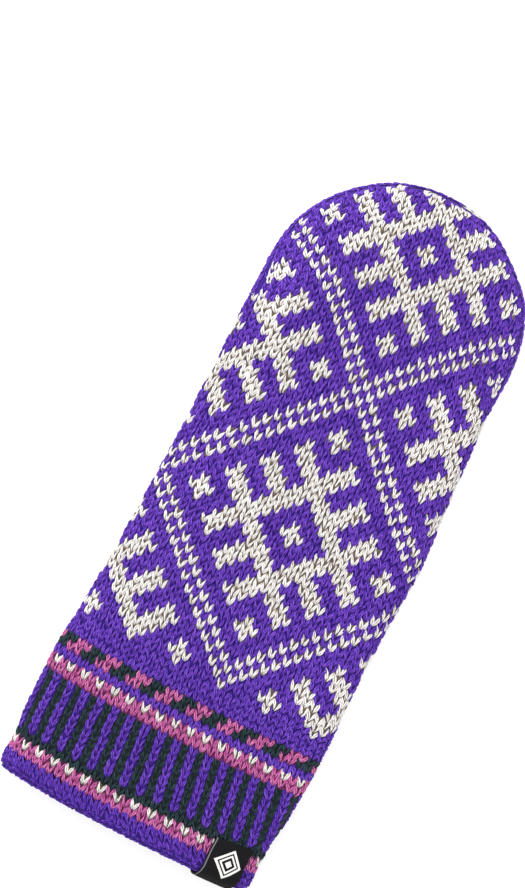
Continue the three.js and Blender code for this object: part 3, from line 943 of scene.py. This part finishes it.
def knitted_ground(name):
    """The inside of the knitting and what shows between stitches, where strands of the other colours cross
    behind: the colour of each stitch painted darker, as painted shade in the gaps, with the rows'
    horizontal bumps."""
    shader = {"Roughness": 0.95, "Specular IOR Level": 0.2, "Sheen Weight": 0.2}
    material, tree, bsdf = new_material(name, shader)
    under = add(tree, "Attribute", attribute_name="under")
    grid = add(tree, "UVMap", uv_map="Stitches")
    wave = {"Vector": grid, "Scale": ROW_BUMPS, "Distortion": 1.2, "Detail": 2.0}
    rows = add(tree, "TexWave", wave, bands_direction="Y").outputs[1]
    place = add(tree, "TexCoord").outputs["Object"]
    fuzz = add(tree, "TexNoise", {"Vector": place, "Scale": 1 / (GROUND_FUZZ * MM), "Detail": 3.0})
    mixed = add(tree, "Math", (rows, ROW_RELIEF, fuzz), operation="MULTIPLY_ADD")
    # the ground is darker where the bumps and fuzz are low: painted shade in the hollows
    level = add(tree, "MapRange", (mixed, *GROUND_SHADE_TONES))
    colour = add(tree, "MixRGB", (1.0, under, level), blend_type="MULTIPLY")
    bump = add(tree, "Bump", {"Height": mixed, "Strength": 0.8, "Distance": 0.4 * MM})
    feed(tree, bsdf, {"Base Color": colour, "Normal": bump})
    return material


LOZENGE_SHAPE = 1.15  # the lozenge is this much taller than wide
LOZENGE_RINGS = ((5.5, 0.65), (3.5, 0.5))  # mm from its middle to a ring's, and half the ring's width
LOZENGE_MIDDLE = 1.6  # mm from its middle that is filled
SELVEDGE = (-7.0, 0.16)  # where the pale thread runs, and half its width
THREAD_SCALE = 0.62  # the wave's scale for ridges 0.7 mm apart, coarser than real threads, so that they show


def woven_satin(name):
    """Black polyester satin ribbon: slanting ridges of thread, a soft shine, a pale selvedge thread on
    the left edge and a plain woven lozenge."""
    material, tree, bsdf = new_material(name, {"Roughness": 0.6, "Specular IOR Level": 0.15})
    face = add(tree, "UVMap", uv_map="Tab")
    split = add(tree, "SeparateXYZ", (face,))
    right = add(tree, "Math", (split.outputs[0],), operation="ABSOLUTE")
    up = add(tree, "Math", (split.outputs[1],), operation="ABSOLUTE")
    reach = add(tree, "Math", (right, LOZENGE_SHAPE, up), operation="MULTIPLY_ADD")
    white = add(tree, "Math", (reach, LOZENGE_MIDDLE), operation="LESS_THAN")
    for middle, half in LOZENGE_RINGS:
        ring = add(tree, "Math", (reach, middle, half), operation="COMPARE")
        white = add(tree, "Math", (ring, white), operation="MAXIMUM")
    edge = add(tree, "Math", (split.outputs[0], *SELVEDGE), operation="COMPARE")
    wave = {"Vector": face, "Scale": THREAD_SCALE, "Distortion": 0.3}
    threads = add(tree, "TexWave", wave, bands_direction="DIAGONAL").outputs[1]
    base = add(tree, "ValToRGB", (threads,))
    base.color_ramp.elements[0].color = linear("#060607")
    base.color_ramp.elements[1].color = linear("#141417")
    edged = add(tree, "MixRGB", (edge, base, linear("#77757A")))
    colour = add(tree, "MixRGB", (white, edged, linear("#EEECE8")))
    bump = add(tree, "Bump", {"Height": threads, "Strength": 0.5, "Distance": 0.08 * MM})
    feed(tree, bsdf, {"Base Color": colour, "Normal": bump})
    return material


YARN_MATERIALS = [
    wool_yarn("purple_worsted_wool", "#321270", "#5B2FB0", "#8A59D6"),
    wool_yarn("natural_white_worsted_wool", "#9E938B", "#F2ECE8", "#FFFEFD"),
    wool_yarn("pink_worsted_wool", "#80246A", "#BE5698", "#E692C4"),
    wool_yarn("dark_green_worsted_wool", "#0C161A", "#1E3238", "#364E54"),
]
GROUND = knitted_ground("knitted_ground")
SATIN = woven_satin("black_satin_ribbon")
# each yarn's colour painted darker for the ground: painted shade in the gaps between stitches
GROUND_SHADE_COLOURS = np.array([linear(c) for c in ("#30157A", "#6E6054", "#642250", "#0E1A1E")])
FOLD_SHADE_COLOUR = linear("#3C1C88")  # the cloth beside the side folds of a closed end, given a lighter painted shade

GROUND_DEPTH = 1.15
FOLD_BAND = 2.7  # mm along the surface that the stitches of a closed end's side fold take there
FOLD_FILL = 0.25  # the cloth under them lies nearer the surface by this, by a power of the turn's cosine
FOLD_FILL_POWER = 6
FOLD_GROUND = 6.0  # and this far from the fold it has their purple, as that lighter painted shade
TIP_RINGS = np.array([8, 14, 21, 28, 34.5, 40, 44.5, 48, 50.3, 51.6, 52.3, 52.6])
TIP_SHARES = TIP_RINGS / TIP_RINGS[-1]  # of the way from the shoulder to the tip
WELD_REACH = 1e-3  # mm between points that become one
EMPTY_EDGE = 1e-4


def grid_triangles(across, along, closed):
    """Triangles of a grid whose first side goes round, and whose second also closes where closed."""
    i, j = np.meshgrid(np.arange(across), np.arange(along if closed else along - 1), indexing="ij")
    k, m = (i + 1) % across, (j + 1) % along
    a, b, c, d = i * along + j, k * along + j, k * along + m, i * along + m
    return np.stack([a, b, c, a, c, d], axis=-1).reshape(-1, 3)


def swept_cloth(name, tube, sides, profile, under_yarn, closed=False):
    """A wall of cloth: a profile of stations and depths carried round a tube, at equal shares of the
    distance round. Each triangle takes the colour of the stitch over it, painted darker: painted shade for
    the gaps between stitches."""
    y, inset = np.array(profile).T
    share = np.arange(sides) / sides
    turn = tube.rung(tube.turn, np.minimum(y, tube.tip)[None, :], share[:, None])
    end = tube.tip - inset
    fill = FOLD_FILL * smoothstep(y, tube.shoulder - FOLD_BAND, tube.shoulder)
    fill = fill * (1 - smoothstep(y, end - FOLD_BAND, end)) * np.abs(np.cos(turn)) ** FOLD_FILL_POWER
    points = tube.point(turn, y[None, :] + 0 * turn, inset[None, :] - fill)
    triangles = grid_triangles(sides, len(y), closed)
    corner_share = (triangles // len(y)) / sides
    # Where a triangle crosses the start of the round, the corners past it count as one round further on
    past_start = corner_share.max(axis=1, keepdims=True) - corner_share > 0.5
    corner_share = corner_share + past_start
    corner_y = y[triangles % len(y)]
    stitch = stitch_at(tube, corner_share, corner_y)
    middle = np.round(stitch.mean(axis=1))
    by_fold = tube.beside_fold(corner_share.mean(axis=1), corner_y.mean(axis=1), FOLD_GROUND)
    # painted shade: each triangle gets the darkened colour of its stitch's yarn, lighter beside the folds
    colours = np.where(by_fold[:, None], FOLD_SHADE_COLOUR, GROUND_SHADE_COLOURS[under_yarn(*middle.T)])
    under = np.repeat(colours, 3, axis=0)
    thing = mesh_piece(name, points, triangles, GROUND, maps={"Stitches": stitch}, values={"under": under})
    weld(thing)
    return thing


def stitch_at(tube, share, y):
    """The column and the row at a share of the distance round and a station."""
    distance = share * tube.at(tube.round, y)
    under = share > tube.at(tube.half / tube.round, y)
    upper = (tube.at(tube.upper, y) - distance) / tube.at(tube.upper_pitch, y)
    lower = COLUMNS / 2 + (tube.at(tube.lower, y) - distance) / tube.at(tube.lower_pitch, y)
    half_round = np.where(under, COLUMNS / 2, 0)
    column = np.where(under, lower, upper)
    spread = tube.fan(under, tube.across(under, column - half_round, y), y)
    column = column + (spread - rib_lean(under, column - half_round, y)) / COLUMN
    return np.stack([column, row_at(tube.across(under, column - half_round, y), y)], axis=-1)


def weld(thing):
    """Joins points that fall together, such as those of a closed tip, and drops the empty faces."""
    work = bmesh.new()
    work.from_mesh(thing.data)
    bmesh.ops.remove_doubles(work, verts=work.verts, dist=WELD_REACH * MM)
    bmesh.ops.dissolve_degenerate(work, edges=work.edges, dist=EMPTY_EDGE * MM)
    work.to_mesh(thing.data)
    work.free()


def cut_box(thing, centre, size):
    """Cuts a box out of a piece."""
    corners = np.array([(x, y, z) for x in (-1, 1) for y in (-1, 1) for z in (-1, 1)]) / 2
    quads = [(0, 1, 3, 2), (4, 6, 7, 5), (0, 4, 5, 1), (2, 3, 7, 6), (0, 2, 6, 4), (1, 5, 7, 3)]
    triangles = [(a, b, c) for a, b, c, d in quads] + [(a, c, d) for a, b, c, d in quads]
    tool = mesh_piece("cutting_box", corners * size + centre, triangles, flat=True)
    cut = thing.modifiers.new("slot", "BOOLEAN")
    cut.object, cut.operation, cut.solver = tool, "DIFFERENCE", "EXACT"
    solid = bpy.data.meshes.new_from_object(thing.evaluated_get(bpy.context.evaluated_depsgraph_get()))
    thing.modifiers.clear()
    thing.data = solid
    bpy.data.objects.remove(tool)


def pocket(low, tip, shoulder, wall, steps, stops=()):
    """A pocket's profile: from the tip down its outside, across its open end and up its inside. stops
    are stations of the outer surface that it has to pass through."""
    sides = []
    for inset in (GROUND_DEPTH, wall):
        closing = shoulder + (tip - inset - shoulder) * TIP_SHARES
        straight = sorted([*np.linspace(low, shoulder, steps), *(stop - inset for stop in stops)])
        sides.append([(y, inset) for y in (*straight, *closing)])
    return sides[0][::-1] + sides[1]


# How many places there are round each ground and along its straight part
BODY_SIDES = 144
THUMB_SIDES = 56
HAND_STEPS = 70
THUMB_STEPS = 20
CUFF_STEPS = (26, 14)  # outside and inside
ROLL_STEPS = 20
HEM_GROUND_DEPTH = 0.8 * GROUND_DEPTH


def make_hand_ground():
    """The hand's wall: a pocket carried round the body, less the hole that the thumb opens from."""
    stops = (RECESS_LOW - RECESS_STEP, RECESS_LOW)
    profile = pocket(HAND_LOW - GAP / 2, LENGTH, SHOULDER, HAND_WALL, HAND_STEPS, stops)
    ground = swept_cloth("hand_ground", body, BODY_SIDES, profile, chart)
    width, depth, height = THUMB_HOLE
    y = askew(THUMB_X, RECESS_LOW - HAND_WALL / 2) - LENGTH / 2
    cut_box(ground, (THUMB_X, y, THUMB_WALL + height / 2), (width, depth, height))
    wear(ground, "hand_wool", "hand")


def make_thumb_ground():
    """The thumb's wall, a pocket of its own."""
    profile = pocket(THUMB_LOW - GAP, THUMB_END, THUMB_END - THUMB_POINT, THUMB_WALL, THUMB_STEPS)
    wear(swept_cloth("thumb_ground", thumb, THUMB_SIDES, profile, all_purple), "thumb_wool", "thumb")


def make_cuff_ground():
    """The cuff's wall: a band carried round the body, down its outside and up its inside."""
    top, (outer, inner) = CUFF_HIGH + GAP / 2, CUFF_STEPS
    outside = [(y, GROUND_DEPTH) for y in np.linspace(top, CUFF_LOW, outer)]
    inside = [(y, HAND_WALL) for y in np.linspace(CUFF_LOW, top, inner)]
    ground = swept_cloth("cuff_ground", body, BODY_SIDES, outside + inside, chart, closed=True)
    wear(ground, "cuff_wool", "cuff")


def make_hem_ground():
    """The filling of the roll: the roll's ellipse at a depth, carried round the body."""
    turns = np.linspace(0, 2 * np.pi, ROLL_STEPS, endpoint=False)
    profile = np.stack(roll_station(turns, HEM_GROUND_DEPTH), axis=-1)
    ground = swept_cloth("hem_ground", body, BODY_SIDES, profile, all_purple, closed=True)
    wear(ground, "hem_wool", "rolled_hem")


BODY_ROWS = np.arange(-25, 46)
CUFF_ROWS = np.arange(-38, -25)
FACE_COLUMNS = np.arange(-24, 25)  # the most that a face can have, with those that the fan brings round
BODY_TIP = 1.0  # a stitch's middle lies this many mm or more short of the tip, and of the thumb's
THUMB_TIP = 1.5
READ_TIP = 0.3  # the clearance from the folds is read up to this many mm short of it
CLEAR_OF_FOLD = FOLD_BAND + 0.2  # mm from the fold to a stitch's middle, and to its upper end
TOP_CLEAR_OF_FOLD = 0.5
STITCH_REACH = 1.5  # mm from a stitch's middle to its upper end
TIP_EDGE = LENGTH - 1.2  # no stitch of a face goes beyond this
STEP_SIDE = RECESS_SIDE + 2.0  # to its left the step under the thumb's base parts the palm's stitches
STEP_FOOT = RECESS_LOW - 1.5 * RECESS_STEP
STEP_TOP = RECESS_LOW + RECESS_STEP
HIDDEN_IN = (4.0, 10.0, 6.0)  # this far in from the thumb's base, end and sides the palm has no stitches
BROAD = (1.02, 0.95, 1.02, 0.95)  # the share of the usual width that the stitches of each yarn have
SUNK = (0.0, 0.15, 0.05, 0.0)  # and how deep they lie
RIB_SUNK = 0.55  # the green stitches between the ribs


def on_face(tube, under, column, y, columns, tip_kept):
    """Which stitches a face has up to the shoulder, half of the columns, and which past it, where a
    column goes on until it meets the side fold's own stitches."""
    straight = (y <= tube.shoulder) & (column >= -columns // 4) & (column < columns // 4)
    clear = tube.fold_clearance(under, column, np.minimum(y, tube.tip - READ_TIP)) > CLEAR_OF_FOLD
    return straight, (y > tube.shoulder) & (y < tube.tip - tip_kept) & clear


def face_stitches(under, rows):
    """The stitches of one face as columns and rows, without those that the thumb hides."""
    column, row = (part.ravel() for part in np.meshgrid(FACE_COLUMNS, rows))
    y = body_station(under, column, row)
    straight, closing = on_face(body, under, column, y, COLUMNS, BODY_TIP)
    top, last = y + STITCH_REACH, LENGTH - READ_TIP
    top_clear = body.fold_clearance(under, column, np.minimum(top, last)) > TOP_CLEAR_OF_FOLD
    kept = straight | (closing & (top < last) & top_clear)
    if under:
        base, end, side = HIDDEN_IN
        aside = np.abs(body.across(True, column, y) - THUMB_X)
        kept &= (y <= THUMB_LOW + base) | (y >= THUMB_END - end) | (aside >= THUMB_HALF_WIDTH - side)
    return column[kept], row[kept]


def knit_face(under, rows):
    """Strands of one face, a list for each yarn."""
    random = np.random.default_rng(SEEDS["palm" if under else "back"])
    column, row = face_stitches(under, rows)
    yarn = chart(column + (COLUMNS // 2 if under else 0), row)
    ribs = np.isin(row, RIB_ROWS)
    result = []
    for each in range(len(YARNS)):
        strands = []
        for part in (yarn == each) & ~ribs, (yarn == each) & ribs:
            if part.any():
                strands.append(knit_part(under, column[part], row[part], each, random))
        result.append(strands)
    return result


def knit_part(under, column, row, yarn, random):
    """Stitches of one yarn. Where the thumb opens from the palm, they stop at the step under it."""
    broad = BROAD[yarn]
    sunk = RIB_SUNK if row[0] in RIB_ROWS and yarn == GREEN else SUNK[yarn]
    y = body_station(under, column, row)
    if not under:
        wide = body.stretch(column, y)
        put = on_body(False, stop_high=TIP_EDGE)
        return stitches(put, column, row, random, broad * wide, sunk, apart=wide)
    beside = body.across(True, column, y) > STEP_SIDE
    low = y < RECESS_LOW
    groups = []
    for part, stops in (
        (beside, {"stop_high": TIP_EDGE}),
        (~beside & low, {"stop_high": STEP_FOOT}),
        (~beside & ~low, {"stop_low": STEP_TOP, "stop_high": TIP_EDGE}),
    ):
        if part.any():
            groups.append(stitches(on_body(True, **stops), column[part], row[part], random, broad, sunk))
    return np.concatenate(groups)


def make_face(under):
    """The stitches of one face of the hand, a piece for each yarn."""
    side = "palm" if under else "back"
    random = np.random.default_rng(SEEDS[side + "_yarns"])
    for yarn, strands in enumerate(knit_face(under, BODY_ROWS)):
        if strands:
            strand_piece(f"hand_{side}_{YARNS[yarn]}_stitches", "hand_wool", strands, yarn, random)


def make_cuff():
    """The stitches of both faces of the cuff, a piece for each yarn."""
    random = np.random.default_rng(SEEDS["cuff_yarns"])
    back, palm = (knit_face(under, CUFF_ROWS) for under in (False, True))
    for yarn, title in enumerate(YARNS):
        strands = back[yarn] + palm[yarn]
        # the cuff's yarns are painted darker than the hand's: painted shade
        strand_piece(f"cuff_{title}_stitches", "cuff_wool", strands, yarn, random, CUFF_SHADE_TONE)


ARMS_OVER_FOLD_ROW = 34  # above this row the white arms reach over the right-hand fold
FOLD_FIRST_ROW = 0.6  # rows from the tip to the first stitch, and past the fold's end for the last one
FOLD_PAST_END = 0.5
FOLD_BANDS = ((0.5, -0.15), (1.45, 0.6))  # how far in each is, in widths of one, and how deep
FOLD_BROAD = 0.92
FOLD_APART = 0.8
FOLD_CHART_DEPTH = 0.5


def arm_over_fold(x, y):
    """Whether a white arm of a figure reaches the right-hand fold of the hand there, near the tip."""
    column = (x - body.at(body.upper_x, y)) / body.at(body.upper_pitch, y)
    row = row_at(x, y)
    return (chart(np.round(column), np.round(row)) == WHITE) & (row > ARMS_OVER_FOLD_ROW)


def fold_strands(tube, random, white_there=None):
    """The columns of stitches along the side folds of a closed end, on both faces: one at the fold, and
    beside it a second one that lies deeper. The upper one at the right-hand fold is white in places.
    Purple strands and white ones."""
    purple, white = [], []
    for side in (-1, 1):
        rows = -np.arange(FOLD_FIRST_ROW, fold_line(tube, side)[2][-1] / ROW + FOLD_PAST_END)
        for under in (False, True):
            put = on_fold(tube, side, under)
            for band, (way_in, sunk) in enumerate(FOLD_BANDS):
                column = np.full(len(rows), inwards(side, under) * FOLD_BAND * way_in / COLUMN)
                is_white = np.zeros(len(rows), bool)
                if white_there and side > 0 and not under and band == 0:
                    place = put(column, rows, FOLD_CHART_DEPTH)
                    is_white = white_there(place[:, 0], place[:, 1] + LENGTH / 2)
                for strands, part in (purple, ~is_white), (white, is_white):
                    some = column[part], rows[part]
                    strands.append(stitches(put, *some, random, FOLD_BROAD, sunk, apart=FOLD_APART))
    return purple, white


def make_fingertip_fold():
    """The stitches along the hand's side folds, a purple piece and a white one."""
    random = np.random.default_rng(SEEDS["fold"])
    for yarn, strands in zip((PURPLE, WHITE), fold_strands(body, random, arm_over_fold)):
        strand_piece(f"hand_fold_{YARNS[yarn]}_stitches", "hand_wool", strands, yarn, random)


THUMB_FACE_COLUMNS = np.arange(-8, 9)
THUMB_FIRST_ROW = 0.4
JOINT_ROW = 0.1
STEP_DEPTHS = (0.0, 0.9)  # two rows of bumps cover the step under the thumb's base
STEP_ROW_BELOW = 0.95


def make_thumb_stitches():
    """The thumb's folds and faces, a row of bumps at its base and two more down the step under it."""
    random = np.random.default_rng(SEEDS["thumb"])
    strands, _ = fold_strands(thumb, random)
    rows = np.arange(THUMB_FIRST_ROW, THUMB_LENGTH / ROW)
    for under in (False, True):
        column, row = (part.ravel() for part in np.meshgrid(THUMB_FACE_COLUMNS, rows))
        straight, closing = on_face(thumb, under, column, THUMB_LOW + row * ROW, THUMB_COLUMNS, THUMB_TIP)
        kept = straight | closing
        strands.append(stitches(on_thumb_face(under), column[kept], row[kept], random))
    joint = np.arange(-THUMB_COLUMNS // 4, THUMB_COLUMNS // 4 + 1)
    strands.append(purl_bumps(on_thumb_face(True), joint, np.full(len(joint), JOINT_ROW), 1, random))
    edge = np.arange(0, COLUMNS // 4 + 2)
    y = RECESS_LOW - STEP_ROW_BELOW
    put = on_body(True, stop_high=STEP_FOOT)
    for sunk in STEP_DEPTHS:
        strands.append(purl_bumps(put, edge, row_at(body.across(True, edge, y), y), 1, random, sunk))
    strand_piece("thumb_purple_stitches", "thumb_wool", strands, PURPLE, random)


HEM_V_ROWS = ((0.78, 1.7), (0.0, 1.2))  # where the hem's two rows of V stitches lie, and how tall they are
HEM_SKEW = -1.3  # mm that their upper ends are pulled aside, to the left, and how unevenly
HEM_SKEW_SPREAD = 0.4
PURL_ROWS = 10
PURL_FIRST_ROW = -0.42
PURL_ROW_STEP = 0.36


def make_hem_stitches():
    """Two rows of V stitches, pulled askew by the roll, then the reverse of the knitting: rows of purl
    bumps round the roll, arched up and down by turns."""
    random = np.random.default_rng(SEEDS["hem"])
    column = np.arange(-COLUMNS // 2, COLUMNS // 2)
    strands = []
    for row, tall in HEM_V_ROWS:
        skew = random.normal(HEM_SKEW, HEM_SKEW_SPREAD, COLUMNS)
        strands.append(stitches(on_roll, column, np.full(COLUMNS, row), random, tall=tall, skew=skew))
    for i in range(PURL_ROWS):
        row = np.full(COLUMNS, PURL_FIRST_ROW - PURL_ROW_STEP * i)
        strands.append(purl_bumps(on_roll, column + (i % 2) / 2, row, 1 if i % 2 else -1, random))
    # the hem's yarn is painted darker still: painted shade
    strand_piece("hem_purple_stitches", "hem_wool", strands, PURPLE, random, HEM_SHADE_TONE)


TAB_THICKNESS = 0.7
TAB_CLEARANCE = 0.45
TAB_LIFT = 0.15  # it stands off this much more where it leaves the cuff for the roll
TAB_TOP = LABEL_TOP - 0.2
TAB_BEND = HEM_HIGH + 2.0
TAB_SLOPE = 0.06  # its upper edge falls to the left by this much for each mm
TAB_STEPS = 90
TAB_ROUND_HEM = 30
TAB_SIDES = 48
TAB_SECTION = (0.35, 0.5)  # the powers of the cosine and the sine that make its section flat and rounded
TAB_END = 0.4  # mm in which it thins to its closed ends


def tab_path():
    """The middle of the tab's cloth in stations and depths: down over the cuff and the roll, round the
    hem's lower edge and up inside, at equal steps."""
    clear = TAB_CLEARANCE + TAB_THICKNESS / 2
    low_y, low_inset = roll_station(np.linspace(0, np.pi, TAB_ROUND_HEM), -clear)
    y = np.concatenate([[TAB_TOP, TAB_BEND], low_y, [LABEL_INNER]])
    inset = np.concatenate([[-clear, -clear - TAB_LIFT], low_inset, [low_inset[-1]]])
    travel = running_sum(np.hypot(np.diff(y), np.diff(inset)))
    even = np.linspace(0, travel[-1], TAB_STEPS)
    return np.interp(even, travel, y), np.interp(even, travel, inset), even


def signed_power(value, power):
    """A power of the size that keeps the sign."""
    return np.sign(value) * np.abs(value) ** power


def make_tab():
    """The folded tab: a flat rounded section carried along the path, closed to an edge at both ends."""
    y, inset, travel = tab_path()
    centre, half, _ = outline_at(np.array(LABEL_TOP), 0)
    first, last = (np.arccos((x - centre) / half) for x in (LABEL_RIGHT, LABEL_LEFT))
    around = np.linspace(0, 2 * np.pi, TAB_SIDES, endpoint=False)
    across = signed_power(np.cos(around), TAB_SECTION[0])[:, None]
    over = signed_power(np.sin(around), TAB_SECTION[1])[:, None]
    slope_y, slope_inset = np.gradient(y, travel), np.gradient(inset, travel)
    size = np.hypot(slope_y, slope_inset)
    end = np.minimum(travel, travel[-1] - travel)
    offset = over * (TAB_THICKNESS / 2 * np.sqrt(np.clip(end / TAB_END, 0, 1)))
    turn = (first + last) / 2 - across * (last - first) / 2 + 0 * y
    x = centre + half * np.cos(turn)
    shear = TAB_SLOPE * (x - LABEL_RIGHT) * np.clip((y - HEM_HIGH) / (TAB_TOP - HEM_HIGH), 0, 1)
    points = on_mitten(turn, y + shear + offset * slope_inset / size, inset + offset * slope_y / size)
    triangles = grid_triangles(TAB_SIDES, len(y), False)
    width = LABEL_RIGHT - LABEL_LEFT
    right = across * width / 2 + 0 * y
    face = np.stack([right, TAB_TOP / 2 - travel + 0 * right], axis=-1).reshape(-1, 2)[triangles]
    tab = mesh_piece("woven_tab", points, triangles, SATIN, maps={"Tab": face})
    weld(tab)
    wear(tab, "woven_tab", "label_tab")


CAMERA_TURN = 25.0  # degrees about its line of sight, so that the mitten slants as in the photo
CAMERA_LOOKS_AT = (-17.0, 21.6, 13.0)
FRAME_HEIGHT = 334.8
LENS = 135.0
SENSOR = 36.0


def make_camera():
    """A camera that looks straight down from where the frame's height fills its sensor."""
    data = bpy.data.cameras.new("camera")
    data.lens, data.sensor_height, data.sensor_fit = LENS, SENSOR, "VERTICAL"
    camera = bpy.data.objects.new("camera", data)
    x, y, z = CAMERA_LOOKS_AT
    camera.location = Vector((x, y, z + FRAME_HEIGHT * LENS / SENSOR)) * MM
    camera.rotation_euler = (0, 0, np.radians(CAMERA_TURN))
    bpy.context.collection.objects.link(camera)
    bpy.context.scene.camera = camera


FLOOR_HALF = 3000.0
PAPER_GREY = (0.5, 0.5, 0.5, 1)
WHITE_LIGHT = (1, 1, 1, 1)
PAPER_GLOW = 0.68
SKY_STRENGTH = 0.85
LAMP_PLACE = Vector((-0.7, 0.9, 1.5))  # in metres
LAMP_SIZE = 1.2
LAMP_POWER = 26


def make_studio():
    """A white sweep, a soft sky of even white and one large soft lamp over the fingertips' left side."""
    corners = FLOOR_HALF * np.array([(-1, -1, 0), (1, -1, 0), (1, 1, 0), (-1, 1, 0)])
    glow = {"Emission Color": WHITE_LIGHT, "Emission Strength": PAPER_GLOW}
    paper, *_ = new_material("white_paper", {"Roughness": 0.9, "Base Color": PAPER_GREY, **glow})
    mesh_piece("floor", corners, [(0, 1, 2), (0, 2, 3)], paper, flat=True)
    world = bpy.data.worlds.new("studio")
    world.use_nodes = True
    sky = world.node_tree.nodes["Background"]
    feed(world.node_tree, sky, {"Color": WHITE_LIGHT, "Strength": SKY_STRENGTH})
    bpy.context.scene.world = world
    lamp = bpy.data.lights.new("large_soft_lamp", "AREA")
    lamp.size, lamp.energy = LAMP_SIZE, LAMP_POWER
    light = bpy.data.objects.new("large_soft_lamp", lamp)
    light.location = LAMP_PLACE
    light.rotation_euler = (-LAMP_PLACE).to_track_quat("-Z", "Y").to_euler()
    bpy.context.collection.objects.link(light)
    bpy.context.scene.view_settings.view_transform = "Standard"


make_hand_ground()
make_thumb_ground()
make_cuff_ground()
make_hem_ground()
make_face(False)
make_face(True)
make_cuff()
make_fingertip_fold()
make_thumb_stitches()
make_hem_stitches()
make_tab()
make_camera()
make_studio()
